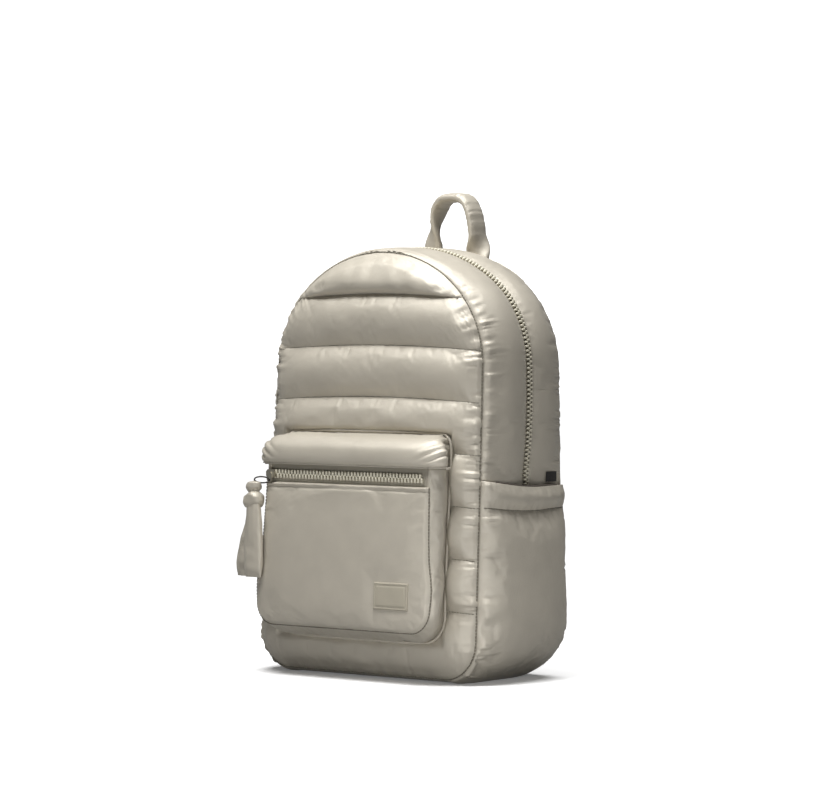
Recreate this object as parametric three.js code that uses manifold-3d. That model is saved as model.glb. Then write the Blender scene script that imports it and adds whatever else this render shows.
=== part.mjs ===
// A quilted puffer backpack that stands by itself: a hollow bag of padded, sewn walls with a main
// zipper over the top, a hooded front pocket, two side pockets, a haul handle and shoulder straps.
// Millimetres, +Z up. The front faces -Y and the back, with the shoulder straps, faces +Y.
import * as THREE from "three";
import { mergeVertices } from "three/addons/utils/BufferGeometryUtils.js";
import Module from "manifold-3d";

// The bag: the front and back seams share one arched outline, and the front seam leans back
const SEAM_HALF_WIDTH = 140.6;
const FOOT_FLARE = 6.5;
const SEAM_TOP = 440;
const SEAM_FOOT = 5;
const ARCH_RISE = 119.3;
const FRONT_CORNER = 38;
const BACK_CORNER = 55;
const DEPTH_AT_FOOT = 141.6;
const DEPTH_AT_TOP = 115.8;
const SEAM_WALL = 3;
const CLEARANCE = 0.3;

// The quilting of the front: channels between sewn seams, puffed with padding
const CHANNEL_PITCH = 53.2;
const LOWEST_CHANNEL_SEAM = 72.7;
const CHANNEL_COUNT = 8;
const CHANNEL_ARCH = 5;
const FRONT_CROWN = 6;
const FRONT_PUFF = 9;
const BACK_CROWN = 4;
const BACK_PUFF = 4;
const BACK_CHANNEL_COUNT = 5;

// The gussets and the main zipper
const ZIP_SETBACK = 58.4;
const ZIP_TAPE_WIDTH = 12;
const ZIP_TAPE_THICKNESS = 1.2;
const ZIP_TEETH_WIDTH = 5;
const ZIP_TEETH_HEIGHT = 1.6;
const ZIP_LIFT = 8;
const GUSSET_PUFF = 4;
const GUSSET_JOIN = 192;
const POCKET_SEAM_INSET = 2.3;
const GATHER = 1;
const GATHER_REACH = 8;
const SLIDER_LENGTH = 14;
const SLIDER_WIDTH = 9;
const SLIDER_HEIGHT = 4;

// The side pockets
const SIDE_POCKET_HEM = 207;
const HEM_DIP = 8;
const SIDE_POCKET_BULGE = 19;
const SIDE_POCKET_PAD = 5;
const SIDE_POCKET_WALL = 2;
const SIDE_WALL_BULGE = 3;
const SIDE_POCKET_WRAP_DEGREES = 55;
const ELASTIC_HEIGHT = 16;
const ELASTIC_THICKNESS = 1.2;
const LABEL_WIDTH = 19.6;
const LABEL_HEIGHT = 10;
const LABEL_THICKNESS = 0.8;
const LABEL_RAISE = 4;

// The front pocket, with depths counted forward from the front seam
const POCKET_HALF_WIDTH = 111;
const POCKET_FOOT = 43;
const POCKET_TOP = 253;
const POCKET_CORNER = 24;
const POCKET_DEPTH = 42;
const POCKET_FLARE = 9;
const POCKET_FACE_RISE = 10;
const FACE_CROWN = 5;
const POCKET_SIDE_BULGE = 7;
const ZIP_WINDOW_LOW = 199;
const ZIP_WINDOW_HIGH = 220;
const HOOD_DEPTH = 51;
const HOOD_SIDE_BULGE = 18;
const HOOD_WALL = 7;
const PIPING_RADIUS = 1.6;
const POCKET_PRESS = 9;
const PATCH_WIDTH = 46;
const PATCH_HEIGHT = 28;
const PATCH_THICKNESS = 0.9;
const PATCH_INSET = 16;
const PATCH_FOOT = 76;

// The pull on the front pocket
const TAB_WIDTH = 7;
const TAB_LENGTH = 11;
const TAB_THICKNESS = 1.4;
const LOOP_DIAMETER = 1.6;
const LOOP_DROP = 9;
const KNOT_WIDTH = 21;
const KNOT_HEIGHT = 29;
const TAIL_LENGTH = 72;
const TAIL_WIDTH = 24;
const TAIL_THICKNESS = 9;

// The haul handle
const HANDLE_SPREAD = 62;
const HANDLE_RISE = 64;
const HANDLE_WIDTH = 24;
const HANDLE_THICKNESS = 10;

// The shoulder straps
const STRAP_WIDTH = 54;
const STRAP_THICKNESS = 11;
const STRAP_STANDOFF = 19;
const WEBBING_WIDTH = 20;
const WEBBING_THICKNESS = 1.5;
const WEBBING_TAIL = 62;
const LOCK_WIDTH = 28;
const LOCK_LENGTH = 24;
const LOCK_THICKNESS = 3.2;
const LOCK_BAR = 3;
const ANCHOR_LENGTH = 26;

const ARCH_FOOT = SEAM_TOP - ARCH_RISE;
const BACK_SEAM_Y = DEPTH_AT_FOOT / 2;
const ZIP_Y = BACK_SEAM_Y - ZIP_SETBACK;
const HALF_GAP = CLEARANCE / 2;
const CARVE_DEPTH = 14;

const CLOTH = { color: 0xbcb6a8, roughness: 0.5, metalness: 0 };
const TAPE = { color: 0x8c8775, roughness: 0.7, metalness: 0 };
const METAL = { color: 0xb9b3a2, roughness: 0.35, metalness: 0.9 };
const DARK = { color: 0x3a332c, roughness: 0.8, metalness: 0 };
const PLASTIC = { color: 0x8f8a7c, roughness: 0.5, metalness: 0 };

const wasm = await Module();
wasm.setup();

const pack = new THREE.Group();

function piece(name, geometry, look) {
  const mesh = new THREE.Mesh(geometry, new THREE.MeshStandardMaterial(look));
  mesh.name = name;
  geometry.computeVertexNormals();
  pack.add(mesh);
  return mesh;
}

const clamp = (value, low, high) => Math.min(high, Math.max(low, value));
const mix = (a, b, share) => a + (b - a) * share;
const smooth = (value) => THREE.MathUtils.smoothstep(value, 0, 1);
const range = (count) => Array.from({ length: count }, (_, index) => index);
const signedPower = (value, power) => Math.sign(value) * Math.abs(value) ** power;

// Closed meshes

function geometryFrom(points, faces) {
  let volume = 0;
  for (let k = 0; k < faces.length; k += 3) {
    const [a, b, c] = [points[faces[k]], points[faces[k + 1]], points[faces[k + 2]]];
    volume += a.dot(new THREE.Vector3().crossVectors(b, c));
  }
  const turned = volume < 0 ? faces.toReversed() : faces;
  const geometry = new THREE.BufferGeometry();
  geometry.setAttribute("position", new THREE.Float32BufferAttribute(points.flatMap((p) => p.toArray()), 3));
  geometry.setIndex(turned);
  return geometry;
}

/** One closed body between an outer and an inner grid of points, joined along their four edges. */
function slab(outer, inner) {
  const rows = outer.length;
  const cols = outer[0].length;
  const faces = [];
  const at = (layer, i, j) => (layer * rows + i) * cols + j;
  const quad = (a, b, c, d) => faces.push(a, b, c, a, c, d);
  for (const i of range(rows - 1)) {
    for (const j of range(cols - 1)) {
      quad(at(0, i, j), at(0, i + 1, j), at(0, i + 1, j + 1), at(0, i, j + 1));
      quad(at(1, i, j), at(1, i, j + 1), at(1, i + 1, j + 1), at(1, i + 1, j));
    }
  }
  const rim = [
    ...range(cols - 1).map((j) => [0, j]),
    ...range(rows - 1).map((i) => [i, cols - 1]),
    ...range(cols - 1).map((j) => [rows - 1, cols - 1 - j]),
    ...range(rows - 1).map((i) => [rows - 1 - i, 0]),
  ];
  rim.forEach(([i, j], k) => {
    const [m, n] = rim[(k + 1) % rim.length];
    quad(at(0, i, j), at(0, m, n), at(1, m, n), at(1, i, j));
  });
  return geometryFrom([...outer.flat(), ...inner.flat()], faces);
}

/** One closed body through rings of as many points each; a closed loft joins its last ring to its first. */
function loft(rings, closed = false) {
  const size = rings[0].length;
  const faces = [];
  const steps = closed ? rings.length : rings.length - 1;
  for (const i of range(steps)) {
    const next = (i + 1) % rings.length;
    for (const j of range(size)) {
      const k = (j + 1) % size;
      const [a, b, c, d] = [i * size + j, next * size + j, next * size + k, i * size + k];
      faces.push(a, b, c, a, c, d);
    }
  }
  if (!closed) {
    const last = (rings.length - 1) * size;
    for (const [a, b, c] of capTriangles(rings[0])) faces.push(a, b, c);
    for (const [a, b, c] of capTriangles(rings.at(-1))) faces.push(last + a, last + c, last + b);
  }
  return geometryFrom(rings.flat(), faces);
}

function capTriangles(ring) {
  const normal = new THREE.Vector3();
  ring.forEach((p, k) => {
    const q = ring[(k + 1) % ring.length];
    normal.add(new THREE.Vector3().crossVectors(p, q));
  });
  normal.normalize();
  const along = ring[1].clone().sub(ring[0]).normalize();
  const across = new THREE.Vector3().crossVectors(normal, along);
  const flat = ring.map((p) => new THREE.Vector2(p.dot(along), p.dot(across)));
  return THREE.ShapeUtils.triangulateShape(flat, []);
}

// Joins and cuts

function asSolid(geometry) {
  const bare = new THREE.BufferGeometry();
  bare.setAttribute("position", geometry.getAttribute("position").clone());
  if (geometry.index) bare.setIndex(geometry.index.clone());
  const merged = mergeVertices(bare, 1e-4);
  return new wasm.Manifold(
    new wasm.Mesh({
      numProp: 3,
      vertProperties: new Float32Array(merged.getAttribute("position").array),
      triVerts: new Uint32Array(merged.index.array),
    }),
  );
}

function asGeometry(solid) {
  const mesh = solid.getMesh();
  const geometry = new THREE.BufferGeometry();
  geometry.setAttribute("position", new THREE.BufferAttribute(new Float32Array(mesh.vertProperties), 3));
  geometry.setIndex(new THREE.BufferAttribute(new Uint32Array(mesh.triVerts), 1));
  return geometry;
}

/** The geometry with each tool cut away from it; only its largest body stays. */
function carve(geometry, ...tools) {
  let solid = asSolid(geometry);
  for (const tool of tools) solid = solid.subtract(asSolid(tool));
  const bodies = solid.decompose();
  bodies.sort((a, b) => b.volume() - a.volume());
  return asGeometry(bodies[0]);
}

function fuse(...geometries) {
  return asGeometry(geometries.map(asSolid).reduce((whole, next) => whole.add(next)));
}

// The seams' outline

/** The front seam leans back from the foot to the top, a little more near the foot. */
function frontSeamY(z) {
  const down = Math.max(0, SEAM_TOP - z) / SEAM_TOP;
  return BACK_SEAM_Y - DEPTH_AT_TOP - (DEPTH_AT_FOOT - DEPTH_AT_TOP) * down ** 1.15;
}

/** Half the width between the straight sides, which spread towards the foot. */
const sideHalfWidth = (z) => SEAM_HALF_WIDTH + FOOT_FLARE * Math.max(0, 1 - z / ARCH_FOOT);

/** Half the width inside the seam at height z, with bottom corners of the radius given. */
function outlineHalfWidth(z, corner) {
  if (z > ARCH_FOOT) return SEAM_HALF_WIDTH * Math.sqrt(Math.max(0, 1 - ((z - ARCH_FOOT) / ARCH_RISE) ** 2));
  const below = clamp((SEAM_FOOT + corner - z) / corner, 0, 1);
  return sideHalfWidth(Math.max(z, SEAM_FOOT + corner)) - corner * (1 - Math.sqrt(1 - below * below));
}

/** A station on the outline at an angle of the arch, with its outward direction. */
function archStation(angle) {
  const out = new THREE.Vector2(Math.cos(angle) / SEAM_HALF_WIDTH, Math.sin(angle) / ARCH_RISE).normalize();
  return { x: SEAM_HALF_WIDTH * Math.cos(angle), z: ARCH_FOOT + ARCH_RISE * Math.sin(angle), out };
}

/** A station on the straight right side at height z. */
const sideAt = (z) => ({ x: sideHalfWidth(z), z, out: new THREE.Vector2(1, 0) });

/** Stations up the right side from the height given, over the arch and down the left side. */
function upperStations(foot, sideSteps, archSteps) {
  const right = range(sideSteps).map((k) => sideAt(mix(foot, ARCH_FOOT, k / sideSteps)));
  const arch = range(archSteps + 1).map((k) => archStation((Math.PI * k) / archSteps));
  const left = right.toReversed().map(({ x, z }) => ({ x: -x, z, out: new THREE.Vector2(-1, 0) }));
  return [...right, ...arch, ...left];
}

/** A point off the outline: outward by lift, and at a share of the depth from the front seam to the back. */
function offOutline(station, lift, y) {
  return new THREE.Vector3(station.x + station.out.x * lift, y, station.z + station.out.y * lift);
}

/** How far a wall between the front and back seams swells at a share of the depth, 0 to 1. */
const swell = (share) => Math.sqrt(Math.max(0, Math.sin(Math.PI * share)));

/** Shares from 0 to 1 that lie closer together at both ends. */
const easedShares = (steps) => range(steps + 1).map((k) => (1 - Math.cos((Math.PI * k) / steps)) / 2);

const pointBetweenSeams = (station, lift, share) => {
  const z = station.z + station.out.y * lift;
  return offOutline(station, lift, mix(frontSeamY(z) + HALF_GAP, BACK_SEAM_Y - HALF_GAP, share));
};

// Quilted panels

// Rows of a channel, as shares of its height
const CHANNEL_ROWS = {
  foot: [0, 0.06, 0.16, 0.32, 0.52, 0.76, 0.92],
  middle: [0, 0.14, 0.5, 0.86],
  top: [0, 0.16, 0.42, 0.66, 0.84, 0.95, 1],
};

/** Rows of a panel from its foot to its top, each with its channel and its share of that channel. */
function channelRows(seams) {
  return seams.slice(0, -1).flatMap((low, channel) => {
    const high = seams[channel + 1];
    const kind = channel === 0 ? "foot" : channel === seams.length - 2 ? "top" : "middle";
    return CHANNEL_ROWS[kind].map((share) => ({ z: mix(low, high, share), share, last: kind === "top" }));
  });
}

const frontSeams = [
  SEAM_FOOT,
  ...range(CHANNEL_COUNT - 1).map((k) => LOWEST_CHANNEL_SEAM + k * CHANNEL_PITCH),
  SEAM_TOP,
];

/** Columns of a panel as shares of its half width: steps from the middle, both ways, to each edge. */
const bothWays = (steps) => [...steps.slice(1).toReversed().map((share) => -share), ...steps];

/** The front's columns, with one on each side of the pocket. */
function frontColumns() {
  const edge = POCKET_HALF_WIDTH / SEAM_HALF_WIDTH;
  return bothWays([0, edge * 0.75, edge, mix(edge, 1, 0.4), mix(edge, 1, 0.78), 1]);
}

/** How full a panel is near its outline: 0 on the seam and 1 away from it. */
function panelFullness(t, z) {
  const middle = (SEAM_TOP + SEAM_FOOT) / 2;
  const rise = clamp((z - middle) / (SEAM_TOP - middle), -1, 1);
  return Math.sqrt(Math.max(0, 1 - t ** 4)) * Math.sqrt(Math.max(0, 1 - rise ** 12));
}

/** Whether a place on the front lies under the front pocket, where the quilting is pressed flat. */
function underPocket(t, z) {
  const aside = POCKET_HALF_WIDTH / SEAM_HALF_WIDTH - Math.abs(t);
  const inside = Math.min(aside * SEAM_HALF_WIDTH, z - POCKET_FOOT, POCKET_TOP - z);
  return smooth(1 + (inside - PIPING_RADIUS * 2) / POCKET_PRESS);
}

function frontSurface(t, row) {
  const full = panelFullness(t, row.z);
  const puff = Math.sin(Math.PI * row.share) ** 0.6 * FRONT_PUFF * full;
  return SEAM_WALL + FRONT_CROWN * full + puff * (1 - 0.8 * underPocket(t, row.z));
}

/** The grids of an arched panel; depth is counted outward from the seam plane. */
function panelGrids({ rows, columns, corner, surface, lining, toPoint }) {
  const placed = (depth, row, t) => {
    const z = Math.min(row.z + CHANNEL_ARCH * (1 - t * t) * archShare(row), SEAM_TOP);
    const x = t * Math.max(outlineHalfWidth(row.z, corner), SEAM_HALF_WIDTH * 0.06);
    return toPoint(x, z, depth);
  };
  const outer = rows.map((row) => columns.map((t) => placed(surface(t, row), row, t)));
  const inner = rows.map((row) => columns.map((t) => placed(lining(t, row), row, t)));
  return { outer, inner };
}

/** The channel seams arch upward in the middle, less so next to the foot and the top. */
function archShare(row) {
  return smooth((row.z - SEAM_FOOT) / CHANNEL_PITCH) * smooth((SEAM_TOP - row.z) / CHANNEL_PITCH);
}

const frontPoint = (x, z, depth) => new THREE.Vector3(x, frontSeamY(z) - HALF_GAP - depth, z);
const backPoint = (x, z, depth) => new THREE.Vector3(x, BACK_SEAM_Y + HALF_GAP + depth, z);

function frontPanel(extra = 0) {
  const grids = panelGrids({
    rows: channelRows(frontSeams),
    columns: frontColumns(),
    corner: FRONT_CORNER,
    surface: (t, row) => frontSurface(t, row) + extra,
    lining: (t, row) => (extra ? -CARVE_DEPTH : FRONT_CROWN * panelFullness(t, row.z) * 0.9),
    toPoint: frontPoint,
  });
  return slab(grids.outer, grids.inner);
}

const backSeams = range(BACK_CHANNEL_COUNT + 1).map((k) =>
  mix(SEAM_FOOT, SEAM_TOP, k / BACK_CHANNEL_COUNT),
);

function backSurface(t, row) {
  const full = panelFullness(t, row.z);
  return SEAM_WALL + full * (BACK_CROWN + BACK_PUFF * Math.sin(Math.PI * row.share) ** 0.6);
}

function backPanel(extra = 0) {
  const grids = panelGrids({
    rows: channelRows(backSeams),
    columns: bothWays([0, 0.5, 0.85, 0.96, 1]),
    corner: BACK_CORNER,
    surface: (t, row) => backSurface(t, row) + extra,
    lining: (t, row) => (extra ? -CARVE_DEPTH : BACK_CROWN * panelFullness(t, row.z) * 0.9),
    toPoint: backPoint,
  });
  return slab(grids.outer, grids.inner);
}

// Gussets and the main zipper

const ZIP_FRONT_Y = ZIP_Y - ZIP_TAPE_WIDTH / 2;
const ZIP_BACK_Y = ZIP_Y + ZIP_TAPE_WIDTH / 2;

/** How far the gusset stands off the outline where the zipper runs, at height z. */
function zipLift(z) {
  const low = smooth((z - GUSSET_JOIN) / (SEAM_TOP * 0.25));
  const high = smooth((z - SEAM_TOP * 0.86) / (SEAM_TOP * 0.14));
  return mix(SIDE_WALL_BULGE, ZIP_LIFT, low) - ZIP_LIFT * 0.35 * high;
}

/** The gusset's seam edges draw in under the side pockets' seams. */
const seamInset = (z) => POCKET_SEAM_INSET * (1 - smooth((z - SIDE_POCKET_HEM) / (SEAM_TOP * 0.09)));

/** Puckers beside a seam: every second station draws in. */
const pucker = (index, fromSeam) => (index % 2 ? 0 : GATHER) * Math.exp(-fromSeam / GATHER_REACH);

/** Height of an upper gusset over the outline; fromSeam is 0 on its seam and 1 at the zipper. */
function gussetLift(station, fromSeam) {
  const base = zipLift(station.z) * (1 - (1 - fromSeam) ** 2.2) - seamInset(station.z);
  return { base, puff: GUSSET_PUFF * Math.sin(Math.PI * fromSeam) ** 0.6 };
}

const GUSSET_COLUMNS = [0, 0.07, 0.25, 0.52, 0.8, 1];

function upperGusset(isFront, extra = 0) {
  const stations = upperStations(GUSSET_JOIN + HALF_GAP, 8, 18);
  const edgeY = isFront ? ZIP_FRONT_Y - HALF_GAP : ZIP_BACK_Y + HALF_GAP;
  const grid = (isOuter) =>
    stations.map((station, index) =>
      GUSSET_COLUMNS.map((share) => {
        const { base, puff } = gussetLift(station, share);
        const draw = pucker(index, share * DEPTH_AT_FOOT * 0.5) * Math.sqrt(share);
        const lining = extra ? base - CARVE_DEPTH * 2 : base - SEAM_WALL;
        const lift = isOuter ? base + puff - draw + extra : lining;
        const z = station.z + station.out.y * lift;
        const seamY = isFront ? frontSeamY(z) + HALF_GAP : BACK_SEAM_Y - HALF_GAP;
        return offOutline(station, lift, mix(seamY, edgeY, share));
      }),
    );
  return slab(grid(true), grid(false));
}

/** The zipper's section: half breadths across the tape and heights below or above the gusset's edge. */
const ZIP_SECTION = [
  { across: -ZIP_TAPE_WIDTH / 2, rise: -1 - ZIP_TAPE_THICKNESS },
  { across: ZIP_TAPE_WIDTH / 2, rise: -1 - ZIP_TAPE_THICKNESS },
  { across: ZIP_TAPE_WIDTH / 2, rise: -1 },
  { across: ZIP_TEETH_WIDTH / 2, rise: -1 },
  { across: ZIP_TEETH_WIDTH / 2, rise: ZIP_TEETH_HEIGHT - 1 },
  { across: -ZIP_TEETH_WIDTH / 2, rise: ZIP_TEETH_HEIGHT - 1 },
  { across: -ZIP_TEETH_WIDTH / 2, rise: -1 },
  { across: -ZIP_TAPE_WIDTH / 2, rise: -1 },
];

function mainZipper() {
  const stations = upperStations(GUSSET_JOIN + HALF_GAP, 8, 18);
  return loft(
    stations.map((station) =>
      ZIP_SECTION.map(({ across, rise }) => {
        const lift = zipLift(station.z) - seamInset(station.z) + rise;
        return offOutline(station, lift, ZIP_Y + across);
      }),
    ),
  );
}

/** A zip slider with a short flat pull, lying on the teeth at an angle of the arch. */
function mainSlider(angle, turn) {
  const station = archStation(angle);
  const body = chamferedPlate(SLIDER_WIDTH, SLIDER_LENGTH, SLIDER_HEIGHT, 0.25);
  const tab = chamferedPlate(TAB_WIDTH, TAB_LENGTH * 1.6, TAB_THICKNESS, 0.3);
  const overlap = SLIDER_LENGTH * 0.3;
  tab.translate(0, TAB_LENGTH * 0.8 + SLIDER_LENGTH / 2 - overlap, SLIDER_HEIGHT - TAB_THICKNESS);
  const geometry = fuse(body, tab);
  const along = new THREE.Vector3(-station.out.y, 0, station.out.x).multiplyScalar(turn);
  const out = new THREE.Vector3(station.out.x, 0, station.out.y);
  const across = new THREE.Vector3().crossVectors(along, out);
  const lift = zipLift(station.z) + ZIP_TEETH_HEIGHT - 1 + CLEARANCE + SLIDER_CURVE_ROOM;
  const place = new THREE.Matrix4().makeBasis(across, along, out);
  place.setPosition(offOutline(station, lift, ZIP_Y));
  return geometry.applyMatrix4(place);
}

/** Room for the arch's curve under a straight slider. */
const SLIDER_CURVE_ROOM = (SLIDER_LENGTH / 2) ** 2 / (2 * ARCH_RISE);

/** A plate lying on z = 0 with its corners cut by a share of its width. */
function chamferedPlate(width, length, thickness, cut, hole = null) {
  const [w, l, c] = [width / 2, length / 2, width * cut];
  const corners = [
    [-w, c - l], [c - w, -l], [w - c, -l], [w, c - l],
    [w, l - c], [w - c, l], [c - w, l], [-w, l - c],
  ];
  const shape = new THREE.Shape(corners.map(([x, y]) => new THREE.Vector2(x, y)));
  if (hole) {
    const { x, y, halfX, halfY } = hole;
    const ring = [[-1, -1], [-1, 1], [1, 1], [1, -1]];
    shape.holes.push(new THREE.Path(ring.map(([a, b]) => new THREE.Vector2(x + a * halfX, y + b * halfY))));
  }
  return new THREE.ExtrudeGeometry(shape, { depth: thickness, bevelEnabled: false });
}

// The lower band and the side pockets

/** A station of the lower outline on the right: down the straight side, then round the corner. */
function sideStation(row, corner, top) {
  if (row.turn === undefined) {
    return sideAt(mix(top, SEAM_FOOT + corner, row.drop));
  }
  const angle = THREE.MathUtils.degToRad(row.turn);
  const out = new THREE.Vector2(Math.cos(angle), -Math.sin(angle));
  return {
    x: sideHalfWidth(SEAM_FOOT + corner) - corner + corner * out.x,
    z: SEAM_FOOT + corner + corner * out.y,
    out,
  };
}

const mirrored = ({ x, z, out }) => ({ x: -x, z, out: new THREE.Vector2(-out.x, out.y) });
const cornerAt = (share) => mix(FRONT_CORNER, BACK_CORNER, share);

const POCKET_EDGE_TURN = 1.2;
const BOTTOM_TURN = 90;

// Rows of the band's side: drop is a share of the straight run, turn an angle round the corner,
// bulge a share of its swell under the pocket, and flush is 1 where it comes out level with the pocket
const BAND_ROWS = [
  { drop: 0, bulge: 0.2, flush: 0 },
  { drop: 0.33, bulge: 0.2, flush: 0 },
  { drop: 0.66, bulge: 0.2, flush: 0 },
  { drop: 1, bulge: 0.22, flush: 0 },
  { turn: SIDE_POCKET_WRAP_DEGREES / 3, bulge: 0.28, flush: 0 },
  { turn: (SIDE_POCKET_WRAP_DEGREES * 2) / 3, bulge: 0.34, flush: 0 },
  { turn: SIDE_POCKET_WRAP_DEGREES, bulge: 0.42, flush: 0 },
  { turn: SIDE_POCKET_WRAP_DEGREES + POCKET_EDGE_TURN, bulge: 0.42, flush: 1 },
  { turn: (SIDE_POCKET_WRAP_DEGREES + BOTTOM_TURN) / 2, bulge: 0.32, flush: 1 },
];
const BAND_COLUMNS = easedShares(8);

/** The side pockets stand off their seams more steeply than the rest. */
const pocketSwell = (share) => Math.max(0, Math.sin(Math.PI * share)) ** 0.34;

function bandLift(row, share) {
  return row.bulge * SIDE_POCKET_BULGE * pocketSwell(share) - POCKET_SEAM_INSET * (1 - row.flush);
}

/** The band's bottom swells to the floor and is flat there. */
const bottomLift = (share) => Math.min(SEAM_FOOT, SEAM_FOOT * 1.5 * swell(share));

function baseGusset() {
  const bottomShares = [1, 0.5, 0, -0.5, -1];
  const line = (isOuter, share) => {
    const wall = isOuter ? 0 : SEAM_WALL;
    const corner = cornerAt(share);
    const half = sideHalfWidth(SEAM_FOOT + corner);
    const top = GUSSET_JOIN - HALF_GAP;
    const right = BAND_ROWS.map((row) => ({
      station: sideStation(row, corner, top),
      lift: bandLift(row, share) - wall,
    }));
    const bottom = bottomShares.map((side) => ({
      station: { x: side * (half - corner), z: SEAM_FOOT, out: new THREE.Vector2(0, -1) },
      lift: bottomLift(share) - wall,
    }));
    const left = right.toReversed().map(({ station, lift }) => ({ station: mirrored(station), lift }));
    return [...right, ...bottom, ...left];
  };
  const grid = (isOuter) => {
    const lines = BAND_COLUMNS.map((share) =>
      line(isOuter, share).map(({ station, lift }) => pointBetweenSeams(station, lift, share)),
    );
    return lines[0].map((_, k) => lines.map((points) => points[k]));
  };
  return slab(grid(true), grid(false));
}

// Rows of a side pocket from its hem down: bulge and pad are shares of the pocket's bulge and padding
const SIDE_POCKET_ROWS = [
  { drop: 0, bulge: 0.78, pad: 0.15 },
  { drop: 0.05, bulge: 0.92, pad: 0.7 },
  { drop: 0.12, bulge: 0.92, pad: 0.7 },
  { drop: 0.17, bulge: 0.76, pad: 0.1 },
  { drop: 0.23, bulge: 0.92, pad: 0.7 },
  { drop: 0.4, bulge: 0.99, pad: 1 },
  { drop: 0.6, bulge: 1, pad: 1 },
  { drop: 0.8, bulge: 0.98, pad: 1 },
  { drop: 1, bulge: 0.9, pad: 0.9 },
  { turn: SIDE_POCKET_WRAP_DEGREES / 3, bulge: 0.76, pad: 0.7 },
  { turn: (SIDE_POCKET_WRAP_DEGREES * 2) / 3, bulge: 0.58, pad: 0.4 },
  { turn: SIDE_POCKET_WRAP_DEGREES, bulge: 0.42, pad: 0 },
];
const SIDE_POCKET_COLUMNS = easedShares(8);

/** The hem is highest at the front, dips in the middle and rises a little at the back. */
const hemHeight = (share) => SIDE_POCKET_HEM - HEM_DIP * Math.sin(Math.PI * Math.min(share, 0.75) * 0.8);

function sidePocketLift(row, share, isOuter) {
  const outer = row.bulge * SIDE_POCKET_BULGE * pocketSwell(share);
  return isOuter ? outer : outer - SIDE_POCKET_WALL - row.pad * SIDE_POCKET_PAD * swell(share);
}

function sidePocket(side) {
  const grid = (isOuter) =>
    SIDE_POCKET_ROWS.map((row, index) =>
      SIDE_POCKET_COLUMNS.map((share) => {
        const station = sideStation(row, cornerAt(share), hemHeight(share));
        const draw = isOuter ? pucker(index, share * DEPTH_AT_FOOT) * Math.sqrt(share) : 0;
        const point = pointBetweenSeams(station, sidePocketLift(row, share, isOuter) - draw, share);
        point.x *= side;
        return point;
      }),
    );
  return slab(grid(true), grid(false));
}

/** The dark strip just inside the mouth, which stands a little above the hem. */
function pocketElastic(side) {
  const shares = range(9).map((k) => mix(0.14, 0.86, k / 8));
  const strip = (thickness) =>
    [1.5, -ELASTIC_HEIGHT / 2, -ELASTIC_HEIGHT].map((rise) =>
      shares.map((share) => {
        const station = sideAt(hemHeight(share) + rise);
        const mouth = Math.min(
          ...SIDE_POCKET_ROWS.slice(0, 4).map((row) => sidePocketLift(row, share, false)),
        );
        const point = pointBetweenSeams(station, mouth - CLEARANCE - thickness, share);
        point.x *= side;
        return point;
      }),
    );
  return slab(strip(0), strip(ELASTIC_THICKNESS));
}

/** The small blank label on the rear gusset, just above the right side pocket. */
function sideLabel() {
  const foot = hemHeight(1) + LABEL_RAISE;
  const length = BACK_SEAM_Y - ZIP_BACK_Y;
  const strip = (raise) =>
    [1, 0.5, 0].map((rise) =>
      [0, 1 / 3, 2 / 3, 1].map((along) => {
        const y = BACK_SEAM_Y - LABEL_WIDTH * (1.5 - along);
        const z = foot + LABEL_HEIGHT * rise;
        const station = sideAt(z);
        const { base, puff } = gussetLift(station, (BACK_SEAM_Y - y) / length);
        return offOutline(station, base + puff + raise, y);
      }),
    );
  return slab(strip(CLEARANCE + LABEL_THICKNESS), strip(CLEARANCE));
}

// The front pocket

// How the pocket's face widens towards its foot: height is a share of the face, flare of the pocket's flare
const FACE_FLARE = [
  { height: 0, flare: 0.5 },
  { height: 0.13, flare: 0.8 },
  { height: 0.28, flare: 1 },
  { height: 0.5, flare: 0.5 },
  { height: 0.8, flare: 0.2 },
  { height: 1.2, flare: 0 },
];
const FACE_FOOT = POCKET_FOOT + POCKET_FACE_RISE;

function lookUp(table, key, value, at) {
  const next = table.findIndex((row) => row[key] >= at);
  if (next < 0) return table.at(-1)[value];
  if (next === 0) return table[0][value];
  const [low, high] = [table[next - 1], table[next]];
  return mix(low[value], high[value], smooth((at - low[key]) / (high[key] - low[key])));
}

function faceHalfWidth(z) {
  const share = (z - FACE_FOOT) / (ZIP_WINDOW_LOW - FACE_FOOT);
  return POCKET_HALF_WIDTH + POCKET_FLARE * lookUp(FACE_FLARE, "height", "flare", share);
}

/** A point on the pocket's U-shaped side: down the right, round the foot and up the left. */
function pocketStation(step, halfWidthAt, foot, corner, top) {
  const side = step.side;
  if (step.run === "side") {
    const z = mix(top, foot + corner, step.share);
    return { x: side * halfWidthAt(z), z, out: new THREE.Vector2(side, 0) };
  }
  const half = halfWidthAt(foot + corner);
  if (step.run === "corner") {
    const angle = (Math.PI / 2) * step.share;
    const out = new THREE.Vector2(side * Math.cos(angle), -Math.sin(angle));
    return { x: side * (half - corner) + corner * out.x, z: foot + corner + corner * out.y, out };
  }
  return { x: side * (half - corner) * (1 - step.share), z: foot, out: new THREE.Vector2(0, -1) };
}

const POCKET_SIDE_STEPS = 6;
const POCKET_CORNER_STEPS = 4;
const POCKET_FOOT_STEPS = 3;

function pocketSteps() {
  const right = [
    ...range(POCKET_SIDE_STEPS).map((k) => ({ run: "side", side: 1, share: k / POCKET_SIDE_STEPS })),
    ...range(POCKET_CORNER_STEPS).map((k) => ({ run: "corner", side: 1, share: k / POCKET_CORNER_STEPS })),
    ...range(POCKET_FOOT_STEPS).map((k) => ({ run: "foot", side: 1, share: k / POCKET_FOOT_STEPS })),
  ];
  const middle = { run: "foot", side: 1, share: 1 };
  return [...right, middle, ...right.toReversed().map((step) => ({ ...step, side: -1 }))];
}

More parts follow.
